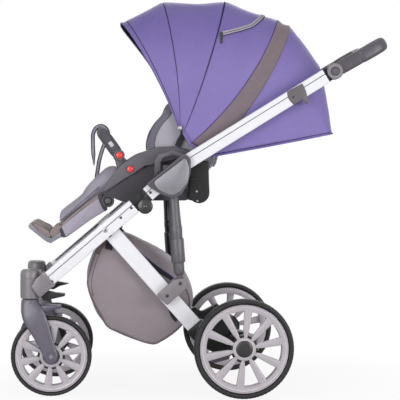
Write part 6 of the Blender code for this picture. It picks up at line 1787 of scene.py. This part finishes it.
def basket():
    """Bag lofted across the pram: the outline, drawn in at the sides, with an open top.

    The belly is the outline carried across and blended into the side outline by y^6. Each
    side wall is a family of rings that shrink to the middle and swell out as 1 - r^2.4.
    """
    outline = through(BASKET, 150, closed=True)
    ring = through(BASKET_SIDE, 150, closed=True)
    middle = np.array([-0.17, 0.305])
    half = 0.15
    across = np.sin(np.linspace(-np.pi / 2, np.pi / 2, 49))
    sag = 1 + 0.006 * np.sin(3 * np.pi * across) * (1 - across ** 4)
    open_top = np.arange(3, 149)
    near = (across ** 6)[None, :, None]
    line = outline[open_top][:, None] * (1 - near) + ring[open_top][:, None] * near
    spots = middle + (line - middle) * sag[None, :, None]
    y = np.broadcast_to(across * half, spots.shape[:2])
    belly = np.stack([spots[..., 0], y, spots[..., 1]], -1)
    away = belly - np.array([middle[0], 0, middle[1]])
    away /= np.linalg.norm(away, axis=2, keepdims=True)
    soft = wrinkles(belly, 21, 0.09, 0.0022) * (1 - across ** 8)[None]
    belly = belly + away * soft[..., None]
    pieces = [part(belly)]
    for column, side in ((0, -1), (48, 1)):
        size = np.linspace(1, 0, 22)[:, None, None]
        full = middle + size * (ring - middle)
        swell = 0.012 * (1 - size[..., 0] ** 2.4) * np.ones((1, len(outline)))
        wall_y = side * (half + swell)
        wall = np.stack([full[..., 0], wall_y, full[..., 1]], -1)
        ripple = wrinkles(wall, 33 + side, 0.1, 0.0018) * (1 - size[..., 0] ** 8)
        wall[..., 1] += ripple
        wall[0, open_top] = belly[:, column]
        pieces.append(part(wall, (False, True)))
    obj = make("basket_bag", pieces, [BASKET_CLOTH], "rear_legs", "basket_grey", ["basket"],
               crease=0, outward=False, thick=0.0018, inside=BASKET_LINING)
    oriented_out(obj, (middle[0], 0.0, middle[1]))
    trims = []
    top_line = np.arange(116, 148)
    front_line = np.concatenate([np.arange(146, 150), np.arange(0, 14)])
    seam = through([(-0.29, 0.426), (-0.312, 0.37), (-0.32, 0.32), (-0.314, 0.288)], 30)
    for side in SIDES.values():
        front = middle + (ring[front_line] - middle) * 0.96
        # The dark lining strip drawn along edge, just under the top line's piping, is painted
        # shadow.
        edge = middle + (ring[top_line] - middle) * 0.9
        trims += [bead(ring, side * (half + 0.0002), (0.0013, 0.0013, 8), closed=True),
                  bead(front, side * (half + 0.0006), (0.0018, 0.008, 12, 4.0), 1),
                  bead(edge, side * (half + 0.0024), (0.002, 0.0085, 12, 4.0), 3),
                  bead(ring[top_line], side * (half + 0.001), (0.0016, 0.0016, 8), 2),
                  bead(seam, side * 0.1525, (0.0008, 0.0008, 8))]
    for end in (0, -1):
        trims.append(sweep(belly[end], oval(0.0024, 0.0018, 12, 4.0), (0.2, 0, 1), tone=1))
    make("basket_piping_and_painted_shadow", trims, [BASKET_TRIM, BASKET_BAND, HOOD_TRIM, LINING], "rear_legs",
         "basket_grey", crease=0)
    basket_straps()


# Stage, lamps and camera

# Strength of the white light from all round, where the camera and mirrors don't see it
SOFT_LIGHT = 0.34


def stage():
    """White floor that keeps the shadow near the object and fades to plain white round it."""
    paint = Finish("studio_floor")
    paint.paint(srgb(252, 252, 253), 0.9)
    x, y, _ = paint.axes(paint.spot())
    fade = (x * x + y * y).step(0.02, 0.9) * 0.12 + 0.88
    seen = paint.node("LightPath", out="Is Camera Ray")
    white = paint.node("Emission", None, {"Strength": 1.0})
    mixed = paint.node("MixShader", None, {0: fade * seen})
    paint.tree.links.new(paint.shader.outputs[0], mixed.socket.node.inputs[1])
    paint.tree.links.new(white.socket, mixed.socket.node.inputs[2])
    paint.tree.links.new(mixed.socket, paint.tree.nodes["Material Output"].inputs[0])
    bpy.ops.mesh.primitive_plane_add(size=14, location=(0, 0, -0.0005))
    floor = bpy.context.object
    floor.name = "studio_floor"
    floor.data.materials.append(paint.material)
    world = bpy.data.worlds.new("studio")
    bpy.context.scene.world = world
    world.use_nodes = True
    nodes, links = world.node_tree.nodes, world.node_tree.links
    nodes.clear()
    rays = nodes.new("ShaderNodeLightPath")
    seen = rays.outputs["Is Camera Ray"]
    for kind in ("Transmission", "Glossy"):
        larger = nodes.new("ShaderNodeMath")
        larger.operation = "MAXIMUM"
        links.new(seen, larger.inputs[0])
        links.new(rays.outputs[f"Is {kind} Ray"], larger.inputs[1])
        seen = larger.outputs[0]
    mix = nodes.new("ShaderNodeMixShader")
    links.new(seen, mix.inputs[0])
    for place, strength in ((1, SOFT_LIGHT), (2, 1.0)):
        glow = nodes.new("ShaderNodeBackground")
        glow.inputs["Color"].default_value = (1, 1, 1, 1)
        glow.inputs["Strength"].default_value = strength
        links.new(glow.outputs[0], mix.inputs[place])
    links.new(mix.outputs[0], nodes.new("ShaderNodeOutputWorld").inputs[0])


def lamp(name, place, target, size, watts):
    """A rectangular lamp that faces its target."""
    data = bpy.data.lights.new(name, "AREA")
    data.shape = "RECTANGLE"
    data.size, data.size_y = size
    data.energy = watts
    obj = bpy.data.objects.new(name, data)
    bpy.context.scene.collection.objects.link(obj)
    obj.location = place
    obj.rotation_euler = (Vector(target) - Vector(place)).to_track_quat("-Z", "Y").to_euler()


def camera():
    """The camera's place and view, found from the wheels and tubes in the photograph."""
    data = bpy.data.cameras.new("photo_camera")
    data.lens = 123.9
    data.sensor_width = 36.0
    data.clip_start = 0.1
    eye = bpy.data.objects.new("photo_camera", data)
    forward = Vector((0.06695, 0.99746, -0.02461)).normalized()
    right = Vector((0.99776, -0.06697, 0.0)).normalized()
    up = right.cross(forward)
    turn = Matrix((right, up, -forward)).transposed()
    eye.matrix_world = Matrix.Translation((-0.272, -4.225, 0.672)) @ turn.to_4x4()
    bpy.context.scene.collection.objects.link(eye)
    bpy.context.scene.camera = eye


camera()
stage()
lamp("key", (-1.9, -3.4, 1.2), (0, 0, 0.6), (2.0, 2.2), 56)
lamp("fill", (2.4, -3.0, 0.9), (0, 0, 0.6), (1.6, 1.8), 44)
lamp("top", (0.2, -0.6, 3.4), (0, 0, 0.7), (2.4, 2.0), 10)
lamp("back", (0.6, 2.8, 2.4), (0, 0, 0.7), (2.6, 1.6), 22)
for side_name, side_sign in SIDES.items():
    tubes(side_name, side_sign)
    caster(side_name, side_sign)
    for wheel_end in WHEELS:
        tyre(side_name, wheel_end, side_sign)
        rim(side_name, wheel_end, side_sign)
    rear_leg(side_name, side_sign)
    hub(side_name, side_sign)
    release_collar(side_name, side_sign)
handle()
cross_parts()
seat_unit()
bumper_bar()
crotch_strap()
leg_rest()
backrest()
pads()
basket()
hood()

bpy.context.scene.view_settings.view_transform = "Standard"
